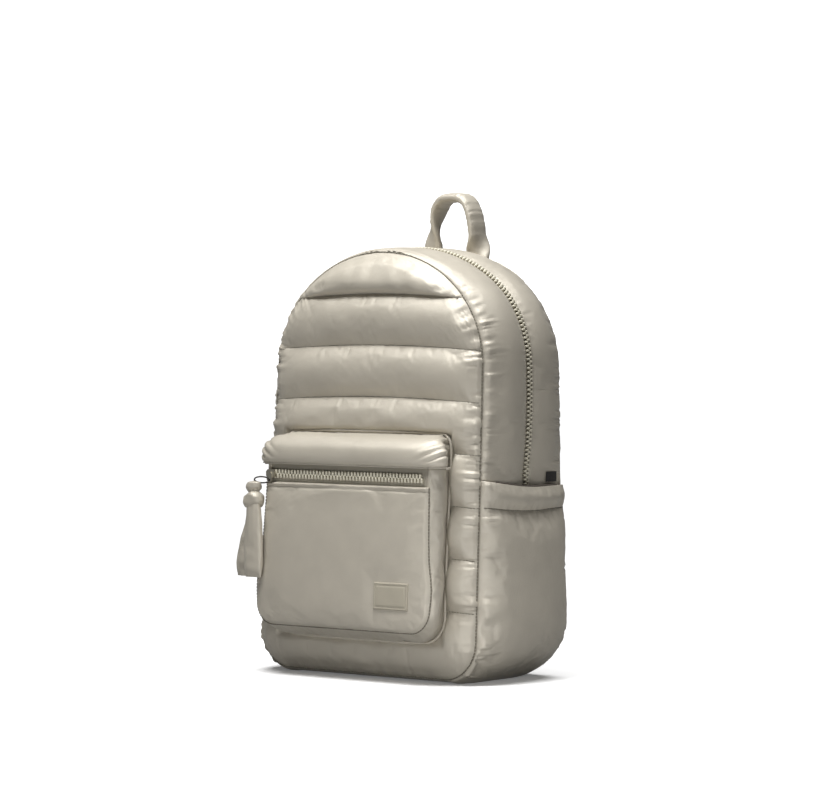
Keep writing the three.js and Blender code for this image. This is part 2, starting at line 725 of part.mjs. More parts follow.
const BULGE_START = 0.42;
const POCKET_COLUMNS = [0, BULGE_START, 0.62, 0.82, 1];
const BASE_DEPTH = 2;

function pocketGusset() {
  const top = ZIP_WINDOW_HIGH - HALF_GAP;
  const faceDepth = POCKET_DEPTH - HALF_GAP;
  const grid = (wall) =>
    pocketSteps().map((step, index) =>
      POCKET_COLUMNS.map((share) => {
        const base = pocketStation(step, () => POCKET_HALF_WIDTH, POCKET_FOOT, POCKET_CORNER, top);
        const face = pocketStation(step, faceHalfWidth, FACE_FOOT, POCKET_CORNER, top);
        const rise = clamp((share - BULGE_START) / (1 - BULGE_START), 0, 1);
        const flare = smooth(rise);
        const fromFace = (1 - share) * GATHER_REACH * 1.5;
        const draw = wall ? 0 : pucker(index, fromFace) * Math.sqrt(share * (1 - share)) * 2;
        const bulge = POCKET_SIDE_BULGE * Math.sin(Math.PI * rise) ** 0.8;
        const off = bulge * (base.out.y < 0 ? 1 + base.out.y * 0.6 : 1) - wall - draw;
        const x = mix(base.x, face.x, flare) + base.out.x * off;
        const z = mix(base.z, face.z, flare) + base.out.y * off;
        return frontPoint(x, z, mix(BASE_DEPTH, faceDepth, share) - HALF_GAP);
      }),
    );
  return carve(slab(grid(0), grid(SEAM_WALL)), frontPanel(CLEARANCE));
}

const FACE_ROWS = [0, 0.035, 0.09, 0.17, 0.32, 0.52, 0.74, 0.9, 1];
const FACE_COLUMNS = [-1, -0.93, -0.78, -0.45, 0, 0.45, 0.78, 0.93, 1];

/** The face's crown over its seam, pinched at its sides and foot and free at the zip's lip. */
function faceCrown(t, share) {
  const aside = Math.sqrt(Math.max(0, 1 - t ** 6));
  const rise = Math.sqrt(Math.max(0, 1 - (1 - share) ** 8));
  return FACE_CROWN * aside * rise * (1 - 0.75 * smooth((share - 0.55) / 0.45));
}

/** Half the face's width at height z, with its rounded bottom corners. */
function faceOutline(z) {
  const below = clamp((FACE_FOOT + POCKET_CORNER - z) / POCKET_CORNER, 0, 1);
  const half = faceHalfWidth(Math.max(z, FACE_FOOT + POCKET_CORNER));
  return half - POCKET_CORNER * (1 - Math.sqrt(1 - below * below));
}

function pocketFace() {
  const grid = (isOuter) =>
    FACE_ROWS.map((share) =>
      FACE_COLUMNS.map((t) => {
        const z = mix(FACE_FOOT, ZIP_WINDOW_LOW, share);
        const crown = faceCrown(t, share);
        return frontPoint(t * faceOutline(z), z, POCKET_DEPTH + (isOuter ? SEAM_WALL + crown : crown * 0.5));
      }),
    );
  return slab(grid(true), grid(false));
}

const ZIP_TAPE_REACH = 4;
const POCKET_TEETH_FOOT = 207;

/** The front pocket's tape, from behind the face's lip up to the hood, with its row of teeth. */
function pocketZipper() {
  const half = POCKET_HALF_WIDTH - SEAM_WALL - CLEARANCE * 2;
  const front = POCKET_DEPTH - CLEARANCE;
  const section = [
    { z: ZIP_WINDOW_LOW - ZIP_TAPE_REACH, depth: front - ZIP_TAPE_THICKNESS },
    { z: ZIP_WINDOW_HIGH - HALF_GAP, depth: front - ZIP_TAPE_THICKNESS },
    { z: ZIP_WINDOW_HIGH - HALF_GAP, depth: front },
    { z: POCKET_TEETH_FOOT + ZIP_TEETH_WIDTH, depth: front },
    { z: POCKET_TEETH_FOOT + ZIP_TEETH_WIDTH, depth: front + ZIP_TEETH_HEIGHT },
    { z: POCKET_TEETH_FOOT, depth: front + ZIP_TEETH_HEIGHT },
    { z: POCKET_TEETH_FOOT, depth: front },
    { z: ZIP_WINDOW_LOW - ZIP_TAPE_REACH, depth: front },
  ];
  return loft([half, -half].map((x) => section.map(({ z, depth }) => frontPoint(x, z, depth - HALF_GAP))));
}

// The hood's section from its lip up and back to the panel: shares of its height, depth and width
const HOOD_PROFILE = [
  { height: 0, depth: 0.92, width: 0.985 },
  { height: 0.1, depth: 0.98, width: 0.99 },
  { height: 0.34, depth: 1, width: 0.99 },
  { height: 0.62, depth: 0.94, width: 0.985 },
  { height: 0.84, depth: 0.76, width: 0.975 },
  { height: 0.96, depth: 0.5, width: 0.965 },
  { height: 1, depth: 0.26, width: 0.95 },
  { height: 0.985, depth: 0.04, width: 0.94 },
];
const HOOD_TURNS = [0, 3.3, 9, 18, 30, 46, 66];
const HOOD_SQUARENESS = 0.32;

/** Half the hood's width at height z, with its rounded top corners. */
function hoodCorner(z) {
  const past = clamp((z - POCKET_TOP) / POCKET_CORNER + 1, 0, 1);
  return POCKET_HALF_WIDTH - POCKET_CORNER * (1 - Math.sqrt(1 - past ** 2));
}

/** The puffed hood over the zip: a rounded, hollow roof down to its lip. */
function pocketHood() {
  const lip = ZIP_WINDOW_HIGH + HALF_GAP;
  const turns = [...HOOD_TURNS, 90, ...HOOD_TURNS.map((turn) => 180 - turn).reverse()];
  const grid = (wall) =>
    HOOD_PROFILE.map(({ height, depth, width }) =>
      turns.map((turn) => {
        const angle = THREE.MathUtils.degToRad(turn);
        const forward = (HOOD_DEPTH * depth - wall) * signedPower(Math.sin(angle), HOOD_SQUARENESS);
        const swelling = smooth((forward / HOOD_DEPTH - BULGE_START) / 0.3);
        const bulge = HOOD_SIDE_BULGE * swelling * (1 - height ** 4);
        const z = lip + (POCKET_TOP - lip - wall) * height;
        const half = hoodCorner(z) * width - wall + bulge;
        const x = half * signedPower(Math.cos(angle), HOOD_SQUARENESS);
        return frontPoint(x, z, Math.max(forward, BASE_DEPTH) - HALF_GAP);
      }),
    );
  return carve(slab(grid(0), grid(HOOD_WALL)), frontPanel(CLEARANCE));
}

const PIPING_RUNS = { across: 5, up: 9 };

/** The bead round the pocket's base, bedded on the quilted panel. */
function pocketPiping() {
  const reach = PIPING_RADIUS + CLEARANCE * 1.5;
  const half = POCKET_HALF_WIDTH + reach;
  const corner = POCKET_CORNER + reach;
  const [low, high] = [POCKET_FOOT - reach, POCKET_TOP + reach];
  const stations = [];
  const cornerSteps = 4;
  for (const [sideX, sideZ, start] of [[1, 1, 0], [-1, 1, 90], [-1, -1, 180], [1, -1, 270]]) {
    for (const k of range(cornerSteps + 1)) {
      const angle = THREE.MathUtils.degToRad(start + (90 * k) / cornerSteps);
      stations.push({
        x: sideX * (half - corner) + corner * Math.cos(angle),
        z: (sideZ > 0 ? high : low) - sideZ * corner + corner * Math.sin(angle),
      });
    }
    const runs = sideX * sideZ > 0 ? PIPING_RUNS.across : PIPING_RUNS.up;
    const last = stations.at(-1);
    const target = sideX * sideZ > 0 ? { x: -last.x, z: last.z } : { x: last.x, z: low + high - last.z };
    for (const k of range(runs - 1)) {
      const share = (k + 1) / runs;
      stations.push({ x: mix(last.x, target.x, share), z: mix(last.z, target.z, share) });
    }
  }
  const panel = new THREE.Mesh(frontPanel(), new THREE.MeshStandardMaterial(CLOTH));
  const rings = stations.map(({ x, z }, k) => {
    const next = stations[(k + 1) % stations.length];
    const before = stations[(k + stations.length - 1) % stations.length];
    const out = new THREE.Vector2(next.z - before.z, before.x - next.x).normalize();
    const y = frontFaceY(panel, x, z) - CLEARANCE - PIPING_RADIUS * 1.05;
    return range(6).map((m) => {
      const angle = (Math.PI * m) / 3;
      const aside = PIPING_RADIUS * Math.cos(angle);
      return new THREE.Vector3(x + out.x * aside, y - PIPING_RADIUS * Math.sin(angle), z + out.y * aside);
    });
  });
  return loft(rings, true);
}

/** Where the quilted front's surface lies at a place on it. */
function frontFaceY(panel, x, z) {
  const ahead = new THREE.Vector3(x, -DEPTH_AT_FOOT * 2, z);
  const ray = new THREE.Raycaster(ahead, new THREE.Vector3(0, 1, 0));
  return ray.intersectObject(panel)[0].point.y;
}

/** The blank stitched patch on the pocket's face. */
function patch() {
  const sheet = (raise) =>
    [1, 0.5, 0].map((rise) =>
      range(5).map((k) => {
        const x = POCKET_HALF_WIDTH - PATCH_INSET - PATCH_WIDTH * (k / 4);
        const z = PATCH_FOOT + PATCH_HEIGHT * rise;
        const crown = faceCrown(x / faceOutline(z), (z - FACE_FOOT) / (ZIP_WINDOW_LOW - FACE_FOOT));
        return frontPoint(x, z, POCKET_DEPTH + SEAM_WALL + crown + raise);
      }),
    );
  return slab(sheet(CLEARANCE + PATCH_THICKNESS), sheet(CLEARANCE));
}

// The pull on the front pocket

const PULL_X = -POCKET_HALF_WIDTH + TAB_WIDTH;
const TEETH_MIDDLE = POCKET_TEETH_FOOT + ZIP_TEETH_WIDTH / 2;
const TAB_DROP = TAB_LENGTH * 0.32;
const TAB_RAISE = SLIDER_HEIGHT - 0.2;
const EYE = { x: 0, y: -TAB_LENGTH * 0.26, halfX: TAB_WIDTH * 0.25, halfY: TAB_LENGTH * 0.16 };

/** The slider's place on the front pocket's teeth, from its own frame: x across, y up and z forward. */
function pullPlace() {
  const place = new THREE.Matrix4().makeRotationX(Math.PI / 2);
  return place.setPosition(frontPoint(PULL_X, TEETH_MIDDLE, POCKET_DEPTH + ZIP_TEETH_HEIGHT));
}

/** Slider on the teeth with its tab, whose eye holds the loop. */
function pocketSlider() {
  const body = chamferedPlate(SLIDER_LENGTH * 0.8, SLIDER_WIDTH, SLIDER_HEIGHT, 0.2);
  const tab = chamferedPlate(TAB_WIDTH, TAB_LENGTH, TAB_THICKNESS, 0.3, EYE);
  tab.translate(0, -TAB_DROP, TAB_RAISE);
  return fuse(body, tab).applyMatrix4(pullPlace());
}

const eyePoint = () =>
  new THREE.Vector3(EYE.x, EYE.y - TAB_DROP, TAB_RAISE + TAB_THICKNESS / 2).applyMatrix4(pullPlace());
const KNOT_TOP = TEETH_MIDDLE - LOOP_DROP;
const KNOT_X = PULL_X - KNOT_WIDTH;
const KNOT_DEPTH = POCKET_DEPTH + FACE_CROWN + TAIL_THICKNESS * 0.4;

/** The cord loop: through the tab's eye, and down to the knot. */
function pullLoop() {
  const eye = eyePoint();
  const knot = frontPoint(KNOT_X, KNOT_TOP + LOOP_DIAMETER / 2 + CLEARANCE, KNOT_DEPTH);
  const middle = eye.clone().add(knot).multiplyScalar(0.5);
  const along = eye.clone().sub(knot).multiplyScalar(0.5);
  const half = along.length();
  along.normalize();
  const aside = new THREE.Vector3(0, -1, 0).addScaledVector(along, along.y).normalize();
  const across = new THREE.Vector3().crossVectors(along, aside);
  const rings = range(20).map((k) => {
    const angle = (2 * Math.PI * k) / 20;
    const out = along.clone().multiplyScalar(Math.cos(angle)).addScaledVector(aside, Math.sin(angle));
    const centre = middle
      .clone()
      .addScaledVector(along, half * Math.cos(angle))
      .addScaledVector(aside, LOOP_DIAMETER * 2.2 * Math.sin(angle));
    return range(6).map((m) => {
      const turn = (Math.PI * m) / 3;
      return centre
        .clone()
        .addScaledVector(out, (LOOP_DIAMETER / 2) * Math.cos(turn))
        .addScaledVector(across, (LOOP_DIAMETER / 2) * Math.sin(turn));
    });
  });
  return loft(rings, true);
}

// Stations of a tail from the knot down: shares of its length, width and thickness, and its sideways run
const TAIL_STATIONS = [
  { drop: -0.14, width: 0.4, thickness: 0.6, aside: 0 },
  { drop: 0.04, width: 0.62, thickness: 0.8, aside: 0 },
  { drop: 0.25, width: 0.9, thickness: 1, aside: 0.3 },
  { drop: 0.6, width: 1, thickness: 1, aside: 0.75 },
  { drop: 0.9, width: 0.98, thickness: 0.85, aside: 0.98 },
  { drop: 1, width: 0.86, thickness: 0.35, aside: 1 },
];

function tassel() {
  const knotZ = KNOT_TOP - KNOT_HEIGHT / 2;
  const knot = new THREE.SphereGeometry(0.5, 12, 8);
  knot.rotateX(Math.PI / 2);
  knot.scale(KNOT_WIDTH, KNOT_WIDTH * 0.75, KNOT_HEIGHT);
  const centre = frontPoint(KNOT_X, knotZ, KNOT_DEPTH);
  knot.translate(centre.x, centre.y, centre.z);
  const tail = (start, shift, width, ahead) =>
    loft(
      TAIL_STATIONS.map((row) => {
        const z = knotZ - KNOT_HEIGHT * 0.45 - TAIL_LENGTH * row.drop;
        const x = KNOT_X + start + shift * row.aside;
        return range(10).map((m) => {
          const angle = (Math.PI * m) / 5;
          const across = (width / 2) * row.width * signedPower(Math.cos(angle), 0.7);
          const forward = (TAIL_THICKNESS / 2) * row.thickness * signedPower(Math.sin(angle), 0.8);
          return frontPoint(x + across, z, KNOT_DEPTH + ahead + forward);
        });
      }),
    );
  const right = tail(TAIL_WIDTH * 0.15, TAIL_WIDTH * 0.1, TAIL_WIDTH, TAIL_THICKNESS * 0.2);
  const left = tail(-TAIL_WIDTH * 0.15, -TAIL_WIDTH * 0.45, TAIL_WIDTH * 0.75, -TAIL_THICKNESS * 0.4);
  return fuse(knot, right, left);
}

// The haul handle

const HANDLE_STATIONS = 18;

/** A puffed strap whose width lies along X at its feet and along Y over its arch. */
function haulHandle() {
  const foot = outlineTop(HANDLE_SPREAD / 2) - HANDLE_THICKNESS;
  const top = SEAM_TOP + HANDLE_RISE - HANDLE_THICKNESS / 2;
  const rings = range(HANDLE_STATIONS + 1).map((k) => {
    const angle = (Math.PI * k) / HANDLE_STATIONS;
    const side = Math.cos(angle) < 0 ? -1 : 1;
    const x = (HANDLE_SPREAD / 2) * signedPower(Math.cos(angle), 0.6);
    const z = mix(foot, top, Math.sin(angle) ** 0.85);
    const slope = new THREE.Vector2(Math.cos(angle), Math.sin(angle) * 0.8).normalize();
    const out = new THREE.Vector3(slope.x, 0, slope.y);
    const turn = (Math.PI / 2) * smooth((Math.sin(angle) - 0.2) / 0.55);
    const level = smooth(Math.sin(angle) / 0.3);
    const upright = new THREE.Vector3(side, 0, 0).lerp(out, level).normalize();
    const face = new THREE.Vector3(0, -Math.cos(turn), 0).addScaledVector(upright, Math.sin(turn));
    const tangent = new THREE.Vector3(-upright.z, 0, upright.x);
    const wide = new THREE.Vector3().crossVectors(tangent, face);
    return range(12).map((m) => {
      const around = (2 * Math.PI * m) / 12;
      return new THREE.Vector3(x, BACK_SEAM_Y + SEAM_WALL / 2, z)
        .addScaledVector(wide, (HANDLE_WIDTH / 2) * signedPower(Math.cos(around), 0.7))
        .addScaledVector(face, (HANDLE_THICKNESS / 2) * signedPower(Math.sin(around), 0.8));
    });
  });
  return carve(loft(rings), upperGusset(false, CLEARANCE), backPanel(CLEARANCE));
}

/** Height of the seam's outline at a distance from the middle. */
const outlineTop = (x) => ARCH_FOOT + ARCH_RISE * Math.sqrt(1 - (x / SEAM_HALF_WIDTH) ** 2);

// The shoulder straps

// The strap's line from its seam down: shares of half the bag's width, of the stand-off, of the
// bag's height and of the strap's width
const STRAP_ROUTE = [
  { aside: 0.27, stand: -0.35, height: 0.905, width: 0.85 },
  { aside: 0.285, stand: 0.35, height: 0.888, width: 0.95 },
  { aside: 0.34, stand: 0.85, height: 0.82, width: 1 },
  { aside: 0.43, stand: 1, height: 0.71, width: 1 },
  { aside: 0.52, stand: 0.98, height: 0.6, width: 0.95 },
  { aside: 0.59, stand: 0.8, height: 0.49, width: 0.8 },
  { aside: 0.63, stand: 0.6, height: 0.4, width: 0.6 },
];
const BACK_FACE_Y = BACK_SEAM_Y + SEAM_WALL + BACK_CROWN + BACK_PUFF;
const STRAP_STEPS = 12;

function strapLine(side) {
  const points = STRAP_ROUTE.map(
    ({ aside, stand, height }) =>
      new THREE.Vector3(
        side * SEAM_HALF_WIDTH * aside,
        BACK_FACE_Y + STRAP_STANDOFF * stand,
        SEAM_TOP * height,
      ),
  );
  return new THREE.CatmullRomCurve3(points, false, "centripetal");
}

/** Directions at a point of the strap: along it, across its width, and off its face. */
function strapAxes(along) {
  const across = new THREE.Vector3().crossVectors(new THREE.Vector3(0, 1, 0), along).normalize();
  const off = new THREE.Vector3().crossVectors(along, across).normalize();
  return { across, off };
}

function shoulderStrap(side) {
  const line = strapLine(side);
  const rings = range(STRAP_STEPS + 1).map((k) => {
    const share = k / STRAP_STEPS;
    const place = line.getPoint(share);
    const { across, off } = strapAxes(line.getTangent(share));
    const spot = share * (STRAP_ROUTE.length - 1);
    const low = Math.min(Math.floor(spot), STRAP_ROUTE.length - 2);
    const width = mix(STRAP_ROUTE[low].width, STRAP_ROUTE[low + 1].width, spot - low) * STRAP_WIDTH;
    return range(12).map((m) => {
      const around = (2 * Math.PI * m) / 12;
      return place
        .clone()
        .addScaledVector(across, (width / 2) * signedPower(Math.cos(around), 0.55))
        .addScaledVector(off, (STRAP_THICKNESS / 2) * signedPower(Math.sin(around), 0.75));
    });
  });
  return carve(loft(rings), backPanel(CLEARANCE));
}

/** The frame of the adjuster: its origin at the strap's end, z down the webbing and y off the back. */
function adjusterFrame(side) {
  const line = strapLine(side);
  const end = line.getPoint(1);
  const anchor = anchorPoint(side);
  const down = anchor.clone().sub(end);
  const length = down.length();
  down.normalize();
  const { across, off } = strapAxes(down);
  const matrix = new THREE.Matrix4().makeBasis(across, off, down);
  matrix.setPosition(end.addScaledVector(line.getTangent(1), STRAP_THICKNESS * 0.12));
  return { matrix, length };
}

const anchorPoint = (side) =>
  new THREE.Vector3(side * SEAM_HALF_WIDTH * 0.78, BACK_FACE_Y + LOCK_THICKNESS * 0.9, SEAM_TOP * 0.12);

const LOCK_SLOT = (LOCK_LENGTH - 3 * LOCK_BAR) / 3;

/** The adjuster: a flat frame with an upper slot for the webbing and a lower one. */
function ladderLock(side) {
  const { matrix } = adjusterFrame(side);
  const outline = [
    [-LOCK_WIDTH / 2, 0], [LOCK_WIDTH / 2, 0],
    [LOCK_WIDTH / 2, LOCK_LENGTH], [-LOCK_WIDTH / 2, LOCK_LENGTH],
  ];
  const shape = new THREE.Shape(outline.map(([x, z]) => new THREE.Vector2(x, z)));
  const halfSlot = WEBBING_WIDTH / 2 + CLEARANCE * 2;
  for (const low of [LOCK_BAR * 1.4, LOCK_LENGTH - LOCK_BAR - LOCK_SLOT]) {
    const slotHeight = low < LOCK_LENGTH / 2 ? LOCK_SLOT * 1.4 : LOCK_SLOT;
    const ring = [[-1, 0], [-1, 1], [1, 1], [1, 0]];
    const hole = ring.map(([a, b]) => new THREE.Vector2(a * halfSlot, low + b * slotHeight));
    shape.holes.push(new THREE.Path(hole));
  }
  const plate = new THREE.ExtrudeGeometry(shape, { depth: LOCK_THICKNESS, bevelEnabled: false });
  plate.translate(0, 0, -LOCK_THICKNESS / 2);
  plate.rotateX(Math.PI / 2);
  plate.translate(0, 0, CLEARANCE + STRAP_THICKNESS * 0.1);
  return plate.applyMatrix4(matrix);
}

/** Webbing from the anchor up behind the lock, over its middle bar and down in front to a free end. */
function strapWebbing(side) {
  const { matrix, length } = adjusterFrame(side);
  const reach = LOCK_THICKNESS / 2 + CLEARANCE + WEBBING_THICKNESS / 2;
  const turnAt = CLEARANCE + STRAP_THICKNESS * 0.1 + LOCK_BAR * 1.4 + LOCK_SLOT * 1.4 - CLEARANCE;
  const turnSteps = 6;
  const line = [
    { z: length, y: -reach, out: [-1, 0] },
    { z: turnAt, y: -reach, out: [-1, 0] },
    ...range(turnSteps - 1).map((k) => {
      const angle = (Math.PI * (k + 1)) / turnSteps;
      const out = [-Math.cos(angle), -Math.sin(angle)];
      return { z: turnAt + reach * out[1], y: reach * out[0], out };
    }),
    { z: turnAt, y: reach, out: [1, 0] },
    { z: WEBBING_TAIL, y: reach, out: [1, 0] },
  ];
  const rings = line.map(({ y, z, out }) =>
    [[-1, -1], [1, -1], [1, 1], [-1, 1]].map(([a, b]) => {
      const shift = (b * WEBBING_THICKNESS) / 2;
      return new THREE.Vector3((a * WEBBING_WIDTH) / 2, y + out[0] * shift, z + out[1] * shift);
    }),
  );
  return carve(loft(rings).applyMatrix4(matrix), backPanel(CLEARANCE));
}

/** The sewn tab under the webbing's lower end, tapering out to the back seam. */
function strapAnchor(side) {
  const { matrix, length } = adjusterFrame(side);
  const top = -(LOCK_THICKNESS / 2 + CLEARANCE * 2 + WEBBING_THICKNESS);
  const ends = [
    { z: length - ANCHOR_LENGTH * 0.45, half: WEBBING_WIDTH * 0.55 },
    { z: length + ANCHOR_LENGTH * 0.55, half: WEBBING_WIDTH * 0.85 },
  ];
  const rings = ends.map(({ z, half }) => [
    new THREE.Vector3(-half, top - CARVE_DEPTH, z),
    new THREE.Vector3(half, top - CARVE_DEPTH, z),
    new THREE.Vector3(half, top, z),
    new THREE.Vector3(-half, top, z),
  ]);
  return carve(loft(rings).applyMatrix4(matrix), backPanel(CLEARANCE));
}

// The assembly

piece("front_panel", frontPanel(), CLOTH);
piece("gusset_front", upperGusset(true), CLOTH);
piece("gusset_back", upperGusset(false), CLOTH);
piece("base_gusset", baseGusset(), CLOTH);
piece("back_panel", backPanel(), CLOTH);
piece("main_zipper", mainZipper(), TAPE);
piece("main_slider_1", mainSlider(Math.PI * 0.9, 1), METAL);
piece("main_slider_2", mainSlider(Math.PI * 0.82, -1), METAL);
for (const [name, side] of [["right", 1], ["left", -1]]) {
  piece(`side_pocket_${name}`, sidePocket(side), CLOTH);
  piece(`pocket_elastic_${name}`, pocketElastic(side), DARK);
}
piece("side_label", sideLabel(), DARK);
piece("pocket_piping", pocketPiping(), CLOTH);
piece("pocket_gusset", pocketGusset(), CLOTH);
piece("pocket_face", pocketFace(), CLOTH);
piece("pocket_hood", pocketHood(), CLOTH);
piece("pocket_zipper", pocketZipper(), TAPE);
piece("patch", patch(), CLOTH);
piece("pocket_slider", pocketSlider(), METAL);
piece("pull_loop", pullLoop(), DARK);
piece("tassel", tassel(), CLOTH);
piece("haul_handle", haulHandle(), CLOTH);
for (const [name, side] of [["right", 1], ["left", -1]]) {
  piece(`shoulder_strap_${name}`, shoulderStrap(side), CLOTH);
  piece(`ladder_lock_${name}`, ladderLock(side), PLASTIC);
  piece(`strap_webbing_${name}`, strapWebbing(side), TAPE);
  piece(`strap_anchor_${name}`, strapAnchor(side), CLOTH);
}

// The origin is the middle of the standing pack's own box, on the floor
const box = new THREE.Box3().setFromObject(pack);
const middle = box.getCenter(new THREE.Vector3());
pack.position.set(-middle.x, -middle.y, -box.min.z);

export default pack;
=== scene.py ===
"""A quilted puffer backpack in satin stone nylon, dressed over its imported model."""

import math

import bpy
import numpy as np
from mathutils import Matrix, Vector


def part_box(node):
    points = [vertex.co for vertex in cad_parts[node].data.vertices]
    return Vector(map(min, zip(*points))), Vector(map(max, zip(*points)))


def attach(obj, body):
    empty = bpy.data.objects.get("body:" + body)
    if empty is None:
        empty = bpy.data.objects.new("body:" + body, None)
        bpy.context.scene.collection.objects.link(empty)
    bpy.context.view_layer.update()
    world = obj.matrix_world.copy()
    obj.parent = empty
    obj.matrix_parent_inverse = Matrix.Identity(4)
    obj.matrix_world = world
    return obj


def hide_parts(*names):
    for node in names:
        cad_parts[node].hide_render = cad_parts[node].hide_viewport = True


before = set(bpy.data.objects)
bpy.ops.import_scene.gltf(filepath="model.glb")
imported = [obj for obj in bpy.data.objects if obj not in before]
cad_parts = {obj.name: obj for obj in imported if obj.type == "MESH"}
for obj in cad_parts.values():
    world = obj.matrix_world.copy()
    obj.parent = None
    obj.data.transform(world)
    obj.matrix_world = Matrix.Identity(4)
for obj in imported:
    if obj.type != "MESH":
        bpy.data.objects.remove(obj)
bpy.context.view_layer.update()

# Sizes in millimetres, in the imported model's frame: front towards -Y, right side +X
BACK_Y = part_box("back_panel")[0][1] * 1000 - 0.15
SEAM_HALF_WIDTH = 140.6
FOOT_FLARE = 6.5
SEAM_TOP = 440.0
SEAM_FOOT = 5.0
ARCH_RISE = 119.3
ARCH_FOOT = SEAM_TOP - ARCH_RISE
FRONT_CORNER = 38.0
BACK_CORNER = 55.0
DEPTH_AT_FOOT = 141.6
DEPTH_AT_TOP = 115.8
SEAM_WALL = 3.0
TUCK = 4.0

CHANNEL_PITCH = 53.2
LOWEST_CHANNEL_SEAM = 72.7
CHANNEL_COUNT = 8
CHANNEL_ARCH = 5.0
FRONT_CROWN = 6.0
FRONT_PUFF = 11.0
BACK_CROWN = 4.0
BACK_PUFF = 4.0

ZIP_SETBACK = 58.4
ZIP_TAPE_WIDTH = 12.0
ZIP_LIFT = 8.0
ZIP_Y = BACK_Y - ZIP_SETBACK
GUSSET_PUFF = 4.0
GUSSET_JOIN = 192.0
POCKET_SEAM_INSET = 2.3
TOOTH_PITCH = 4.4

SIDE_POCKET_HEM = 207.0
HEM_DIP = 8.0
SIDE_POCKET_BULGE = 19.0
SIDE_WALL_BULGE = 3.0
SIDE_POCKET_WRAP = 55.0

POCKET_HALF_WIDTH = 111.0
POCKET_FOOT = 43.0
POCKET_TOP = 253.0
POCKET_CORNER = 24.0
POCKET_DEPTH = 42.0
POCKET_FLARE = 9.0
POCKET_FACE_RISE = 10.0
FACE_FOOT = POCKET_FOOT + POCKET_FACE_RISE
FACE_CROWN = 5.0
POCKET_SIDE_BULGE = 7.0
ZIP_WINDOW_LOW = 201.0
ZIP_WINDOW_HIGH = 220.0
HOOD_DEPTH = 51.0
HOOD_SIDE_BULGE = 18.0
PIPING_RADIUS = 1.5
PIPING_STEP = 2.0
POCKET_PRESS = 9.0
BULGE_START = 0.252

SEAM_TUCK = 3.5
WALL = 2.0
THIN_WALL = 1.6
POCKET_ROOT = 8.0
POUCH_RUN = 150.0
HOOD_GIRTH = 75.0
GUSSET_LENGTH = {True: 70.0, False: 50.0}
GUSSET_STEPS = {True: 34, False: 24}
POUCH_STEPS = 60

# Places inside the bag and its pockets, away from which their cloth faces
MIDDLE = (0.0, 10.0, 220.0)
FACE_MIDDLE = (0.0, 0.0, 130.0)
POCKET_MIDDLE = (0.0, -85.0, 180.0)
HOOD_MIDDLE = (0.0, -60.0, 225.0)
SIDE_MIDDLES = {1: (100.0, 10.0, 110.0), -1: (-100.0, 10.0, 110.0)}

# The photograph's camera
CAMERA_AZIMUTH = 41.0
CAMERA_YAW = -0.042
CAMERA_PITCH = 1.204
CAMERA_DISTANCE = 3.9132
CAMERA_HEIGHT = 0.36815
CAMERA_LENS = 161.87
CAMERA_CENTRE_Y = (BACK_Y - 67.5) / 1000


# Small functions


def mix(a, b, share):
    return a + (b - a) * share


def smooth(value):
    value = np.clip(value, 0.0, 1.0)
    return value * value * (3.0 - 2.0 * value)


def bell(value, width):
    """1 where the value is 0, falling off over the width on both sides."""
    return np.exp(-((value / width) ** 2))


def hump(share):
    """0 at both ends of a share, and 1 half way."""
    return np.sin(np.pi * share)


def unit(vectors):
    return vectors / np.linalg.norm(vectors, axis=-1, keepdims=True)


def around(count):
    """Angles once round a ring."""
    return np.linspace(0.0, 2 * np.pi, count, endpoint=False)


def run_along(points):
    """Distances along a line of points from its first one."""
    return np.concatenate([[0.0], np.cumsum(np.linalg.norm(np.diff(points, axis=0), axis=1))])


def signed_power(value, power):
    return np.sign(value) * np.abs(value) ** power


def eased(steps):
    """Shares from 0 to 1 that lie closer together at both ends."""
    even = np.linspace(0.0, 1.0, steps + 1)
    return mix(even, (1.0 - np.cos(np.pi * even)) / 2.0, 0.75)


def curve(xs, ys, x):
    """A smooth curve through a short table's points."""
    xs = np.asarray(xs, float)
    ys = np.asarray(ys, float)
    slopes = np.gradient(ys, xs)
    k = np.clip(np.searchsorted(xs, x) - 1, 0, len(xs) - 2)
    span = xs[k + 1] - xs[k]
    s = np.clip((x - xs[k]) / span, 0.0, 1.0)
    rise = (ys[k + 1] - ys[k]) * smooth(s)
    bend = s * (1.0 - s) * ((1.0 - s) * slopes[k] - s * slopes[k + 1]) * span
    return ys[k] + rise + bend


NOISE_KNOTS = 4096
NOISE_SIDE = 128


def noise1(s, seed):
    """Smooth noise from -1 to 1 along a line, with a knot at every unit."""
    table = np.random.default_rng(seed).uniform(-1.0, 1.0, NOISE_KNOTS)
    cell = np.floor(s).astype(int)
    return mix(table[cell % NOISE_KNOTS], table[(cell + 1) % NOISE_KNOTS], smooth(s - cell))


def noise2(u, v, seed):
    """Smooth noise from -1 to 1 over a plane, with a knot at every unit."""
    table = np.random.default_rng(seed).uniform(-1.0, 1.0, (NOISE_SIDE, NOISE_SIDE))
    i = np.floor(u).astype(int)
    j = np.floor(v).astype(int)
    across = smooth(u - i)
    low = mix(table[i % NOISE_SIDE, j % NOISE_SIDE], table[(i + 1) % NOISE_SIDE, j % NOISE_SIDE], across)
    row = (j + 1) % NOISE_SIDE
    high = mix(table[i % NOISE_SIDE, row], table[(i + 1) % NOISE_SIDE, row], across)
    return mix(low, high, smooth(v - j))


